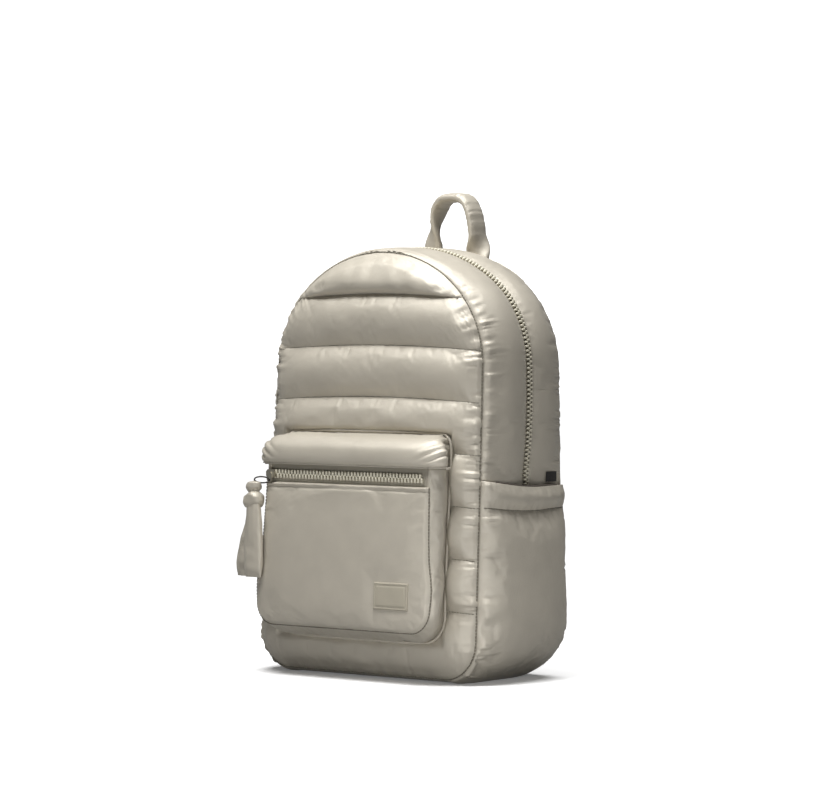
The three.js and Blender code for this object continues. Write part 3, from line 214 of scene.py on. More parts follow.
def gathers(along, away, seed, pitch, reach, depth):
    """Puckers beside a sewn seam, by the distances along it and away from it; then sizes in mm."""
    fine = 1.7 * np.abs(noise1(along / (pitch * 0.62), seed)) - 0.75
    coarse = noise1(along / (pitch * 2.1), seed + 1)
    length = reach * (0.45 + 0.55 * (1.0 + coarse))
    fade = np.exp(-((away / length) ** 1.7))
    start = 1.0 - np.exp(-away / 1.1)
    return depth * (0.85 * fine + 0.25 * coarse) * fade * start


# The seams' outline


def front_y(z):
    down = np.maximum(0.0, SEAM_TOP - z) / SEAM_TOP
    return BACK_Y - DEPTH_AT_TOP - (DEPTH_AT_FOOT - DEPTH_AT_TOP) * down**1.15


def below_top(z, gap, reach):
    """0 down to a gap below the top of the arch, then rising to 1 over the reach."""
    return smooth((SEAM_TOP - gap - z) / reach)


def near_top(z):
    return smooth((z - SEAM_TOP * 0.86) / (SEAM_TOP * 0.14))


def side_half_width(z):
    return SEAM_HALF_WIDTH + FOOT_FLARE * np.maximum(0.0, 1.0 - z / ARCH_FOOT)


def outline_half_width(z, corner):
    z = np.asarray(z, float)
    rise = np.clip((z - ARCH_FOOT) / ARCH_RISE, 0.0, 1.0)
    arch = SEAM_HALF_WIDTH * np.sqrt(1.0 - rise**2)
    below = np.clip((SEAM_FOOT + corner - z) / corner, 0.0, 1.0)
    sides = side_half_width(np.maximum(z, SEAM_FOOT + corner)) - corner * (1.0 - np.sqrt(1.0 - below**2))
    return np.where(z > ARCH_FOOT, arch, sides)


def on_front(x, z, depth):
    """A point ahead of the front seam by depth."""
    x, z, depth = np.broadcast_arrays(x, z, depth)
    return np.stack([x, front_y(z) - depth, z], axis=-1)


def upper_stations(step):
    """Places up the right side, over the arch and down the left at y = 0, outward directions, and the run."""
    z = np.linspace(GUSSET_JOIN, ARCH_FOOT, int((ARCH_FOOT - GUSSET_JOIN) / step), endpoint=False)
    right = np.stack([side_half_width(z), 0 * z, z], 1)
    arch = np.linspace(0.0, np.pi, int(np.pi * (SEAM_HALF_WIDTH + ARCH_RISE) / 2 / step))
    over = np.stack([SEAM_HALF_WIDTH * np.cos(arch), 0 * arch, ARCH_FOOT + ARCH_RISE * np.sin(arch)], 1)
    over_out = unit(np.stack([np.cos(arch) / SEAM_HALF_WIDTH, 0 * arch, np.sin(arch) / ARCH_RISE], 1))
    right_out = np.tile([1.0, 0.0, 0.0], (len(z), 1))
    places = np.concatenate([right, over, right[::-1] * [-1.0, 1.0, 1.0]])
    return places, np.concatenate([right_out, over_out, -right_out]), run_along(places)


# Meshes


def link(name, data):
    obj = bpy.data.objects.new(name, data)
    bpy.context.scene.collection.objects.link(obj)
    return obj


def outward_normals(grid, middle):
    """The grid's normals, turned away from the middle, and whether they pointed that way already."""
    normals = np.cross(np.gradient(grid, axis=0), np.gradient(grid, axis=1))
    normals /= np.maximum(np.linalg.norm(normals, axis=-1, keepdims=True), 1e-9)
    is_outward = float(np.sum(normals * (grid - np.asarray(middle)))) > 0
    return (normals if is_outward else -normals), is_outward


def raised(grid, height, middle):
    """The grid moved off its own surface, away from the middle."""
    return grid + outward_normals(grid, middle)[0] * height[..., None]


def make_object(name, points, faces, material):
    mesh = bpy.data.meshes.new(name)
    mesh.from_pydata((np.reshape(points, (-1, 3)) / 1000.0).tolist(), [], faces)
    mesh.polygons.foreach_set("use_smooth", np.ones(len(mesh.polygons), bool))
    mesh.update()
    mesh.materials.append(material)
    return link(name, mesh)


def grid_faces(index, turned=False):
    """Quads over a grid of point numbers."""
    quads = np.stack([index[:-1, :-1], index[1:, :-1], index[1:, 1:], index[:-1, 1:]], axis=-1)
    return quads.reshape(-1, 4)[:, ::-1] if turned else quads.reshape(-1, 4)


def shell(name, outer, wall, middle, material):
    """One closed body: the outer grid, the same grid set in by the wall, and the rim between them."""
    normals, is_outward = outward_normals(outer, middle)
    index = np.arange(outer[..., 0].size).reshape(outer.shape[:2])
    ring = np.concatenate([index[0], index[1:, -1], index[-1, -2::-1], index[-2:0:-1, 0]])
    after = np.roll(ring, -1)
    rim = np.stack([ring, after, after + index.size, ring + index.size], axis=-1)
    faces = [grid_faces(index, not is_outward), grid_faces(index + index.size, is_outward)]
    faces.append(rim if is_outward else rim[:, ::-1])
    return make_object(name, [outer, outer - normals * wall], np.concatenate(faces).tolist(), material)


def loft(name, rings, material, closed=False):
    """One closed body through rings of points; a closed loft joins its last ring to its first."""
    index = np.arange(rings[..., 0].size).reshape(rings.shape[:2])
    index = np.concatenate([index, index[:, :1]], axis=1)
    if closed:
        faces = grid_faces(np.concatenate([index, index[:1]])).tolist()
    else:
        faces = grid_faces(index).tolist() + [index[0, :-1].tolist(), index[-1, -2::-1].tolist()]
    obj = make_object(name, rings, faces, material)
    if signed_volume(obj.data) < 0:
        obj.data.flip_normals()
    return obj


def signed_volume(mesh):
    mesh.calc_loop_triangles()
    points = np.empty(len(mesh.vertices) * 3)
    mesh.vertices.foreach_get("co", points)
    corners = np.empty(len(mesh.loop_triangles) * 3, int)
    mesh.loop_triangles.foreach_get("vertices", corners)
    a, b, c = points.reshape(-1, 3)[corners.reshape(-1, 3)].transpose(1, 0, 2)
    return float(np.sum(a * np.cross(b, c)))


def framed(grid, inward):
    """The grid with one more row and column on each side, tucked into its seams."""
    inward = np.asarray(inward)
    grid = np.concatenate([grid[:1] + inward, grid, grid[-1:] + inward])
    return np.concatenate([grid[:, :1] + inward, grid, grid[:, -1:] + inward], axis=1)


def ring_tube(name, path, radius, material, sides=10):
    """A round tube along a closed path of points."""
    along = unit(np.roll(path, -1, axis=0) - np.roll(path, 1, axis=0))
    aside = unit(np.cross(along, [0.13, -1.0, 0.07]))
    turn = around(sides)[None, :, None]
    ring = aside[:, None] * np.cos(turn) + np.cross(along, aside)[:, None] * np.sin(turn)
    return loft(name, path[:, None] + radius * ring, material, closed=True)


# Materials


def add_node(tree, kind, inputs):
    """A new node; each of its inputs, by name or number, gets a value or another node's output."""
    node = tree.nodes.new("ShaderNode" + kind)
    for name, value in inputs.items():
        if isinstance(value, bpy.types.NodeSocket):
            tree.links.new(value, node.inputs[name])
        else:
            node.inputs[name].default_value = value
    return node


def noise_node(tree, place, scale, detail):
    return add_node(tree, "TexNoise", {"Vector": place, "Scale": scale, "Detail": detail}).outputs["Fac"]


def varied(tree, source, low, high):
    """A colour or grey between low and high, by the source."""
    ramp = add_node(tree, "ValToRGB", {"Fac": source})
    for element, position, colour in zip(ramp.color_ramp.elements, (0.25, 0.75), (low, high)):
        element.position = position
        element.color = (*colour, 1.0)
    return ramp.outputs["Color"]


def bump_node(tree, height, distance, strength, **under):
    """A bumped normal, laid over another Normal where one is given."""
    inputs = {"Height": height, "Distance": distance, "Strength": strength, **under}
    return add_node(tree, "Bump", inputs).outputs["Normal"]


def weave_node(tree, thread, place):
    """Crossing threads: two sets of bands, thread metres apart."""
    both = add_node(tree, "Math", {})
    both.operation = "MULTIPLY"
    bands = {"Vector": place, "Scale": 0.314 / thread, "Distortion": 0.4, "Detail": 1.0}
    for number, direction in enumerate("XZ"):
        wave = add_node(tree, "TexWave", bands)
        wave.bands_direction = direction
        tree.links.new(wave.outputs["Fac"], both.inputs[number])
    return both.outputs["Value"]


def new_material(name, low, high, gloss, matt, scales):
    """An uneven colour and gloss, by noise at two scales; gives the shader and object coordinates too."""
    material = bpy.data.materials.new(name)
    material.use_nodes = True
    tree = material.node_tree
    tree.nodes.clear()
    place = add_node(tree, "TexCoord", {}).outputs["Object"]
    colour = varied(tree, noise_node(tree, place, scales[0], 3.0), low, high)
    roughness = varied(tree, noise_node(tree, place, scales[1], 2.0), (gloss,) * 3, (matt,) * 3)
    shader = add_node(tree, "BsdfPrincipled", {"Base Color": colour, "Roughness": roughness})
    add_node(tree, "OutputMaterial", {"Surface": shader.outputs["BSDF"]})
    return material, shader, place


CLOTH_SHADE = 0.94
CREASE_DEPTH = 0.0004


def cloth_material(name, colour, roughness, thread=0.0004, satin=0.0):
    """Woven cloth: fine threads, soft creases and a slight unevenness of colour."""
    low = [c * CLOTH_SHADE for c in colour]
    high = [min(1.0, c / CLOTH_SHADE**0.5) for c in colour]
    gloss, matt = roughness - 0.05, roughness + 0.06
    material, shader, place = new_material(name, low, high, gloss, matt, (38.0, 90.0))
    tree = material.node_tree
    creased = bump_node(tree, noise_node(tree, place, 95.0, 3.0), CREASE_DEPTH, 0.55)
    woven = bump_node(tree, weave_node(tree, thread, place), thread * 0.25, 0.5, Normal=creased)
    tree.links.new(woven, shader.inputs["Normal"])
    shader.inputs["Sheen Weight"].default_value = 0.08
    shader.inputs["Sheen Roughness"].default_value = 0.35
    shader.inputs["Specular IOR Level"].default_value = 0.45 + 0.2 * satin
    shader.inputs["Metallic"].default_value = 0.22 * satin
    return material


def hard_material(name, colour, roughness, metallic):
    """Moulded or cast: a slightly uneven gloss and fine grain."""
    low = [c * 0.92 for c in colour]
    gloss, matt = roughness - 0.04, roughness + 0.08
    material, shader, place = new_material(name, low, colour, gloss, matt, (300.0, 700.0))
    tree = material.node_tree
    grain = bump_node(tree, noise_node(tree, place, 1800.0, 2.0), 0.00004, 0.5)
    tree.links.new(grain, shader.inputs["Normal"])
    shader.inputs["Metallic"].default_value = metallic
    return material


NYLON = cloth_material("nylon", (0.53, 0.488, 0.408), 0.42, satin=1.0)
TAPE = cloth_material("tape", (0.31, 0.285, 0.23), 0.6, thread=0.0008)
TEETH = hard_material("teeth", (0.66, 0.62, 0.50), 0.36, 0.0)
METAL = hard_material("slider_metal", (0.50, 0.47, 0.39), 0.32, 0.85)
# Near-black cloth for the strips inside the side pockets' mouths: painted shade of the openings
POCKET_MOUTH_SHADE = cloth_material("elastic", (0.085, 0.068, 0.055), 0.75, thread=0.0012)
CORD = cloth_material("cord", (0.035, 0.032, 0.026), 0.7, thread=0.0005)
LABEL = cloth_material("label", (0.022, 0.021, 0.02), 0.7, thread=0.0005)
PATCH = cloth_material("patch", (0.40, 0.365, 0.29), 0.65, thread=0.0007)
# Thread: its own darker tone, darkened further to add painted shade along the seams
THREAD_AND_SEAM_SHADE = cloth_material("thread", (0.18, 0.165, 0.13), 0.6, thread=0.0003)
WEBBING = cloth_material("webbing", (0.40, 0.37, 0.31), 0.62, thread=0.0014)
PLASTIC = hard_material("buckle_plastic", (0.38, 0.355, 0.30), 0.42, 0.0)


def dress(obj, slot, *nodes, padded=None):
    """The piece rides on the only body and stands for its CAD nodes, which it hides; the slot is not used."""
    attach(obj, "root")
    if nodes:
        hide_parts(*nodes)
    return obj


def sheet(name, grid, wall, middle, node, padded=None, slot="cloth", material=NYLON):
    """A sheet of cloth that stands for a CAD node."""
    return dress(shell(name, grid, wall, middle, material), slot, node, padded=padded)


def sew(name, rows, size):
    """Sewn threads, in a thread colour darkened to carry painted seam shade: one object for several rows of
    stitches.
    """
    return dress(box_teeth(name, rows, size, THREAD_AND_SEAM_SHADE), "cloth")


# Quilted panels

channel_seams = [LOWEST_CHANNEL_SEAM + k * CHANNEL_PITCH for k in range(CHANNEL_COUNT - 1)]
front_seams = [SEAM_FOOT] + channel_seams + [SEAM_TOP]


def arch_share(z):
    return smooth((z - SEAM_FOOT) / CHANNEL_PITCH) * smooth((SEAM_TOP - z) / CHANNEL_PITCH)


def panel_fullness(t, z):
    middle = (SEAM_TOP + SEAM_FOOT) / 2
    rise = np.clip((z - middle) / (SEAM_TOP - middle), -1.0, 1.0)
    return np.sqrt(np.maximum(0.0, 1 - t**4)) * np.sqrt(np.maximum(0.0, 1 - rise**12))


def under_pocket(x, z):
    inside = np.minimum(np.minimum(POCKET_HALF_WIDTH - np.abs(x), z - POCKET_FOOT), POCKET_TOP - z)
    return smooth(1 + (inside - PIPING_RADIUS * 2) / POCKET_PRESS)


def outline_points(corner):
    """The seam's outline as a closed run of points about 2 mm apart, in x and z."""
    z = np.concatenate([SEAM_FOOT + corner * (1 - np.cos(np.linspace(0, np.pi / 2, 24))),
                        np.linspace(SEAM_FOOT + corner, ARCH_FOOT, 130)[1:],
                        ARCH_FOOT + ARCH_RISE * np.sin(np.linspace(0, np.pi / 2, 110))[1:]])
    x = outline_half_width(z, corner)
    foot = np.arange(-x[0], x[0], 2.0)
    return np.concatenate([np.stack([x, z], 1), np.stack([-x[::-1], z[::-1]], 1),
                           np.stack([foot, np.full(len(foot), SEAM_FOOT)], 1)])


def nearest(line, x, z):
    """Distance of each place from a line of points, and the run along the line to the nearest one."""
    run = run_along(line)
    away = np.empty(x.shape)
    along = np.empty(x.shape)
    for row in range(len(x)):
        gap = np.hypot(x[row, :, None] - line[:, 0], z[row, :, None] - line[:, 1])
        away[row] = gap.min(axis=1)
        along[row] = run[gap.argmin(axis=1)]
    return away, along


def channel_share(z, seams):
    """Which channel a height lies in, and its share of that channel."""
    seams = np.asarray(seams)
    k = np.clip(np.searchsorted(seams, z, side="right") - 1, 0, len(seams) - 2)
    return k, np.clip((z - seams[k]) / (seams[k + 1] - seams[k]), 0.0, 1.0)


def front_depth(x, z):
    """Depth of the quilted front ahead of its seam, by place."""
    half = np.maximum(outline_half_width(z, FRONT_CORNER), SEAM_HALF_WIDTH * 0.06)
    t = np.clip(x / half, -1.0, 1.0)
    row_z = z - CHANNEL_ARCH * (1 - t * t) * arch_share(z)
    full = panel_fullness(t, row_z)
    _, share = channel_share(row_z, front_seams)
    puff = hump(share) ** 0.6 * FRONT_PUFF * full
    return SEAM_WALL + FRONT_CROWN * full + puff * (1 - 0.8 * under_pocket(x, z))


CHANNEL_STEPS = 34


def quilt_grid(seams, steps, columns, corner):
    """A panel's x and z, distances from its seam and along it, channel, share of it, and fullness."""
    rows = [mix(low, high, eased(steps))[:-1] for low, high in zip(seams[:-1], seams[1:])]
    u = np.linspace(-1.0, 1.0, columns)
    t = mix(u, np.sin(u * np.pi / 2), 0.5)
    zz, tt = np.meshgrid(np.concatenate(rows + [[SEAM_TOP]]), t, indexing="ij")
    x = tt * np.maximum(outline_half_width(zz, corner), SEAM_HALF_WIDTH * 0.06)
    z = np.minimum(zz + CHANNEL_ARCH * (1 - tt * tt) * arch_share(zz), SEAM_TOP)
    away, along = nearest(outline_points(corner), x, z)
    channel, share = channel_share(zz, seams)
    return x, z, away, along, channel, share, panel_fullness(tt, zz)


def front_panel():
    x, z, away, along, channel, share, full = quilt_grid(front_seams, CHANNEL_STEPS, 141, FRONT_CORNER)
    lumps = 1 + 0.10 * noise2(x / 42 + 20, z / 30 + 9, 11)
    share = np.where(channel == CHANNEL_COUNT - 1, share**0.5, share)
    puff = hump(share) ** 0.78 * FRONT_PUFF * full * lumps
    pressed = 1 - 0.8 * under_pocket(x, z)
    edge = 0.5 + 0.5 * smooth(away / 14.0)
    depth = SEAM_WALL * smooth(away / 3.5) + (FRONT_CROWN * full + puff * pressed) * edge
    from_seam = np.minimum(share, 1 - share) * CHANNEL_PITCH
    depth += pressed * full * gathers(x + channel * 517.0, from_seam, 31, 11, 6, 0.25)
    top = np.where(channel == CHANNEL_COUNT - 1, full * hump(share), 0.0)
    depth += 1.1 * top * noise2(x / 13.0 + 40.0, z / 26.0 + 8.0, 17)
    grid = on_front(x, z, depth)
    low = below_top(z, 8, 90.0) * mix(0.3, 1.0, smooth((z - 25.0) / 50.0))
    crease = gathers(along, away, 21, 7.0, 13, 2.3) * low
    grid = raised(grid, crease, MIDDLE)
    return framed(grid, (0.0, TUCK, 0.0))


BACK_STEPS = 18


def back_panel():
    seams = list(np.linspace(SEAM_FOOT, SEAM_TOP, 6))
    x, z, away, along, _, share, full = quilt_grid(seams, BACK_STEPS, 91, BACK_CORNER)
    depth = SEAM_WALL * smooth(away / 3.5) + full * (BACK_CROWN + BACK_PUFF * hump(share) ** 0.6)
    depth += gathers(along, away, 41, 8, 8, 0.8)
    return framed(np.stack([x, BACK_Y + depth, z], axis=-1), (0.0, -TUCK, 0.0))


# Gussets and the main zipper


def zip_lift(z):
    low = smooth((z - GUSSET_JOIN) / (SEAM_TOP * 0.25))
    return mix(SIDE_WALL_BULGE, ZIP_LIFT, low) - ZIP_LIFT * 0.55 * near_top(z)


def seam_inset(z):
    return POCKET_SEAM_INSET * (1 - smooth((z - SIDE_POCKET_HEM) / (SEAM_TOP * 0.09)))


TEETH_GAP = 9.0
SEAM_ROLL = 5.5


def upper_gusset(is_front):
    places, outs, run = upper_stations(1.7)
    share = eased(GUSSET_STEPS[is_front])
    zz, ss = np.meshgrid(places[:, 2], share, indexing="ij")
    rr = np.broadcast_to(run[:, None], zz.shape)
    length = GUSSET_LENGTH[is_front]
    edge = ZIP_Y - TEETH_GAP / 2 if is_front else ZIP_Y + TEETH_GAP / 2
    base = zip_lift(zz) * (1 - (1 - ss) ** 2.2) - seam_inset(zz)
    high = near_top(zz)
    puff = GUSSET_PUFF * hump(ss) ** 0.6 * (1 - 0.6 * high)
    lumps = 0.7 * noise2(rr / 60 + 3, ss * length / 40 + 5, 51 + is_front)
    lift = base + puff + lumps * hump(ss)
    low = below_top(zz, 8, 90.0)
    if is_front:
        roll = SEAM_ROLL * (1 - 0.45 * high)
        lift += roll * (1 - np.exp(-ss * length / 2.0)) * np.exp(-ss * length / 18.0)
    lift += gathers(rr, ss * length, 61 + 10 * is_front, 7.0, 12, 1.9) * low
    lift += gathers(rr, (1 - ss) * length, 63 + 10 * is_front, 8, 5, 0.45) * low
    grid = places[:, None] + outs[:, None] * lift[..., None]
    grid[..., 1] = mix(front_y(grid[..., 2]) if is_front else BACK_Y, edge, ss)
    first = grid[:, :1] - outs[:, None] * SEAM_TUCK
    last = grid[:, -1:] - outs[:, None] * SEAM_WALL
    return np.concatenate([first, grid, last], axis=1)


def zip_path():
    """The main zip's points over the top of the bag, and their outward directions."""
    points, outs, _ = upper_stations(2.0)
    z = points[:, 2]
    points = points + outs * (zip_lift(z) - seam_inset(z) - 0.5)[:, None]
    points[:, 1] = ZIP_Y
    return points, outs


def box_teeth(name, rows, size, material):
    """Small bevelled blocks; each row has places, directions along it and outward."""
    places, alongs, outs = (np.concatenate(part) for part in zip(*rows))
    across = np.cross(alongs, outs)
    corners = []
    for rise, shrink in ((0.0, 1.0), (0.75, 1.0), (1.0, 0.7)):
        for u, v in ((-1, -1), (1, -1), (1, 1), (-1, 1)):
            corners.append((u * shrink / 2, v * shrink / 2, rise))
    corners = np.array(corners) * np.asarray(size)
    points = places[:, None] + corners @ np.stack([alongs, across, outs], axis=1)
    faces = [[3, 2, 1, 0], [8, 9, 10, 11]]
    for level in (0, 4):
        for k in range(4):
            m = (k + 1) % 4
            faces.append([level + k, level + m, level + m + 4, level + k + 4])
    faces = np.array(faces)
    every = (faces[None] + (np.arange(len(places)) * 12)[:, None, None]).reshape(-1, 4)
    return make_object(name, points.reshape(-1, 3), every.tolist(), material)


def along_path(points, run, at):
    """Places at the runs given along a path, with the direction there."""
    place = np.stack([np.interp(at, run, points[:, k]) for k in range(3)], axis=-1)
    ahead = np.stack([np.interp(at + 0.5, run, points[:, k]) for k in range(3)], axis=-1)
    behind = np.stack([np.interp(at - 0.5, run, points[:, k]) for k in range(3)], axis=-1)
    along = ahead - behind
    return place, along / np.linalg.norm(along, axis=-1, keepdims=True)


def zip_teeth(name, points, outs, reach, height):
    """Two rows of teeth that mesh in the middle, along a path of points."""
    run = run_along(points)
    rows = []
    for side, start in ((-1, 1.2), (1, 1.2 + TOOTH_PITCH / 2)):
        at = np.arange(start, run[-1] - 0.8, TOOTH_PITCH)
        place, along = along_path(points, run, at)
        out = np.stack([np.interp(at, run, outs[:, k]) for k in range(3)], axis=-1)
        out = unit(out)
        across = np.cross(along, out)
        rows.append((place + across * side * reach * 0.42, along, out))
    return box_teeth(name, rows, (TOOTH_PITCH * 0.46, reach, height), TEETH)


# The lower band and the side pockets


def pocket_swell(share):
    return np.maximum(0.0, hump(share)) ** 0.34


def side_place(drop, turn, share, top):
    """A place on the lower outline: down the straight side by a share, then round the corner by an angle."""
    corner = mix(FRONT_CORNER, BACK_CORNER, share)
    z = mix(top, SEAM_FOOT + corner, drop)
    angle = np.radians(turn)
    x = side_half_width(z) - corner * (1 - np.cos(angle))
    return x, z - corner * np.sin(angle), np.cos(angle), -np.sin(angle)


def hem_height(share):
    return SIDE_POCKET_HEM - HEM_DIP * np.sin(np.pi * np.minimum(share, 0.75) * 0.8)


def between_seams(x, z, out_x, out_z, lift, share):
    zl = z + out_z * lift
    return np.stack([x + out_x * lift, mix(front_y(zl), BACK_Y, share), zl], axis=-1)


POCKET_PROFILE_AT = [0.0, 0.07, 0.165, 0.25, 0.45, 0.65, 0.85, 1.0, 1.33, 1.67, 2.0]
POCKET_PROFILE = [0.72, 1.0, 0.75, 0.92, 1.02, 1.08, 1.09, 1.02, 0.82, 0.6, 0.42]
POCKET_CHANNEL = 0.165


CREASE_ROW = 12


def side_pocket(side):
    hem = mix(0.0, POCKET_CHANNEL, eased(CREASE_ROW))[:-1]
    down = np.concatenate([hem, mix(POCKET_CHANNEL, 2.0, eased(100))])
    share = eased(POUCH_STEPS)
    dd, ss = np.meshgrid(down, share, indexing="ij")
    turn = np.clip(dd - 1.0, 0.0, 1.0) * SIDE_POCKET_WRAP
    x, z, out_x, out_z = side_place(np.minimum(dd, 1.0), turn, ss, hem_height(ss))
    profile = curve(POCKET_PROFILE_AT, POCKET_PROFILE, dd)
    lift = SIDE_POCKET_BULGE * pocket_swell(ss) * profile
    from_channel = np.abs(dd - POCKET_CHANNEL) * POUCH_RUN
    crease = np.exp(-from_channel / 2.6)
    lift -= 2.6 * crease * hump(ss) ** 0.3
    lumps = noise2(z / 45 + 7, ss * 3.2 + 3, 71 + int(side > 0))
    lift += 1.1 * lumps * hump(ss)
    span = DEPTH_AT_FOOT
    seed = 81 if side > 0 else 91
    lift += gathers(z + 300.0, ss * span, seed, 9, 13, 1.8)
    lift += gathers(z + 900.0, (1 - ss) * span, seed + 3, 8, 8, 0.9)
    lift += gathers(ss * span, from_channel, seed + 5, 9, 7, 0.7)
    lift += gathers(ss * span + 500.0, dd * POUCH_RUN, seed + 7, 11, 5, 0.8)
    grid = between_seams(x, z, out_x, out_z, lift, ss)
    grid[..., 0] *= side
    return framed(grid, (-side * SEAM_TUCK, 0.0, 0.0))


def base_gusset():
    drops = np.linspace(0.0, 1.0, 26)
    turns = np.linspace(0.0, 90.0, 22)[1:]
    drop = np.concatenate([drops, np.ones(len(turns))])
    turn = np.concatenate([np.zeros(len(drops)), turns])
    share = eased(40)
    dd, ss = np.meshgrid(drop, share, indexing="ij")
    tt, _ = np.meshgrid(turn, share, indexing="ij")
    x, z, out_x, out_z = side_place(dd, tt, ss, GUSSET_JOIN)
    bulge = curve([0.0, 60.0, 75.0, 90.0], [0.2, 0.38, 0.3, 0.0], tt)
    bottom = np.minimum(SEAM_FOOT, SEAM_FOOT * 1.5 * np.sqrt(np.maximum(0.0, hump(ss))))
    lift = bulge * SIDE_POCKET_BULGE * pocket_swell(ss) + bottom * smooth((tt - 60.0) / 30.0)
    lift -= POCKET_SEAM_INSET * (1 - smooth((tt - 52.0) / 6.0))
    right = between_seams(x, z, out_x, out_z, lift, ss)
    middle = np.stack([right[-1] * [[side, 1.0, 1.0]] for side in np.linspace(1, -1, 42)[1:-1]])
    left = right[::-1] * [-1.0, 1.0, 1.0]
    grid = np.concatenate([right, middle, left])
    grid[..., 2] = np.maximum(grid[..., 2], 0.0)
    return grid


def pocket_elastic(side):
    """A near-black strip just inside the mouth: painted shade of the pocket's opening."""
    rise = np.linspace(1.5, -16.0, 12)
    share = np.linspace(0.12, 0.88, 60)
    rr, ss = np.meshgrid(rise, share, indexing="ij")
    z = hem_height(ss) + rr
    x = side_half_width(z)
    ripple = 0.25 * np.sin(ss * 230.0)
    lift = SIDE_POCKET_BULGE * pocket_swell(ss) * 0.78 - 2.6 + ripple
    y = mix(front_y(z), BACK_Y, ss)
    return np.stack([side * (x + lift), y, z], axis=-1)


# The front pocket


def face_half_width(z):
    share = (z - FACE_FOOT) / (ZIP_WINDOW_LOW - FACE_FOOT)
    heights = [-0.4, 0.0, 0.13, 0.28, 0.5, 0.8, 1.2, 1.4]
    flare = curve(heights, [0.3, 0.5, 0.8, 1.0, 0.5, 0.2, 0.0, 0.0], np.clip(share, -0.4, 1.4))
    return POCKET_HALF_WIDTH + POCKET_FLARE * flare


def face_outline(z):
    below = np.clip((FACE_FOOT + POCKET_CORNER - z) / POCKET_CORNER, 0.0, 1.0)
    half = face_half_width(np.maximum(z, FACE_FOOT + POCKET_CORNER))
    return half - POCKET_CORNER * (1.0 - np.sqrt(1.0 - below**2))


def face_crown(t, share):
    aside = np.sqrt(np.maximum(0.0, 1 - t**6))
    rise = np.sqrt(np.maximum(0.0, 1 - (1 - share) ** 8))
    return FACE_CROWN * aside * rise * (1 - 0.75 * smooth((share - 0.55) / 0.45))


def face_line():
    """The face's seam down the right side, round the foot and up the left, in x and z."""
    z = np.concatenate([np.linspace(ZIP_WINDOW_LOW, FACE_FOOT + POCKET_CORNER, 64)[:-1],
                        FACE_FOOT + POCKET_CORNER * (1 - np.sin(np.linspace(0, np.pi / 2, 22)))])
    x = face_outline(z)
    foot = np.linspace(x[-1], -x[-1], 90)[1:-1]
    return np.concatenate([np.stack([x, z], 1), np.stack([foot, np.full(len(foot), FACE_FOOT)], 1),
                           np.stack([-x[::-1], z[::-1]], 1)])


TOPSTITCH = 4.5


def pocket_face():
    share = eased(84)
    u = np.linspace(-1.0, 1.0, 113)
    t = mix(u, np.sin(u * np.pi / 2), 0.6)
    ss, tt = np.meshgrid(share, t, indexing="ij")
    z = mix(FACE_FOOT, ZIP_WINDOW_LOW, ss)
    x = tt * face_outline(z)
    away, along = nearest(face_line(), x, z)
    depth = POCKET_DEPTH + SEAM_WALL * smooth(away / 3.5) + face_crown(tt, ss)
    low = smooth((z - FACE_FOOT - POCKET_CORNER * 0.5) / 20.0)
    depth += gathers(along, away, 101, 8, 12, 1.0) * (0.15 + 0.85 * low)
    depth += 0.4 * noise2(x / 60 + 9, z / 50 + 2, 105) * smooth(away / 25)
    from_lip = ZIP_WINDOW_LOW - z
    depth -= 0.9 * bell(from_lip - TOPSTITCH, 1.3)
    depth += 1.1 * bell(from_lip - 1.5, 1.1) - 1.6 * np.exp(-from_lip / 0.7)
    return framed(on_front(x, z, depth), (0.0, TUCK, 0.0))


def pocket_gusset():
    top = ZIP_WINDOW_HIGH
    side = np.linspace(0.0, 1.0, 74)[:-1]
    corner = np.linspace(0.0, 1.0, 20)[:-1]
    foot = np.linspace(0.0, 1.0, 40)
    radius = POCKET_CORNER

    def half_run(half_at, low):
        z_side = mix(top, low + radius, side)
        x_side = half_at(z_side)
        half = float(half_at(np.array([low + radius]))[0])
        turn = corner * np.pi / 2
        x = np.concatenate([x_side, half - radius + radius * np.cos(turn), (half - radius) * (1 - foot)])
        z = np.concatenate([z_side, low + radius - radius * np.sin(turn), np.full(len(foot), low)])
        return x, z

    base_x, base_z = half_run(lambda z: np.full(np.shape(z), POCKET_HALF_WIDTH), POCKET_FOOT)
    face_x, face_z = half_run(face_half_width, FACE_FOOT)
    turn = np.concatenate([np.zeros(len(side)), corner * np.pi / 2, np.full(len(foot), np.pi / 2)])
    mirror = slice(-2, None, -1)
    base_x, face_x = (np.concatenate([v, -v[mirror]]) for v in (base_x, face_x))
    base_z, face_z = (np.concatenate([v, v[mirror]]) for v in (base_z, face_z))
    out_x = np.concatenate([np.cos(turn), -np.cos(turn)[mirror]])[:, None]
    out_z = np.concatenate([-np.sin(turn), -np.sin(turn)[mirror]])[:, None]
    share = eased(26)[None, :]
    rise = np.clip((share - BULGE_START) / (1 - BULGE_START), 0.0, 1.0)
    flare = smooth(rise)
    run = np.concatenate([[0.0], np.cumsum(np.hypot(np.diff(face_x), np.diff(face_z)))])[:, None]
    bulge = POCKET_SIDE_BULGE * hump(rise) ** 0.75 * (1 + 0.6 * np.minimum(out_z, 0.0))
    away = (1 - share) * POCKET_DEPTH
    off = bulge + gathers(run, away, 111, 9, 10, 0.7) * (1 + 0.8 * np.minimum(out_z, 0.0))
    x = mix(base_x[:, None], face_x[:, None], flare) + out_x * off
    z = mix(base_z[:, None], face_z[:, None], flare) + out_z * off
    depth = mix(POCKET_ROOT, POCKET_DEPTH, share)
    grid = on_front(x, z, depth + 0 * x)
    out = np.concatenate([out_x, np.zeros_like(out_x), out_z], axis=1)[:, None, :]
    return np.concatenate([grid, grid[:, -1:] - out * TUCK], axis=1)


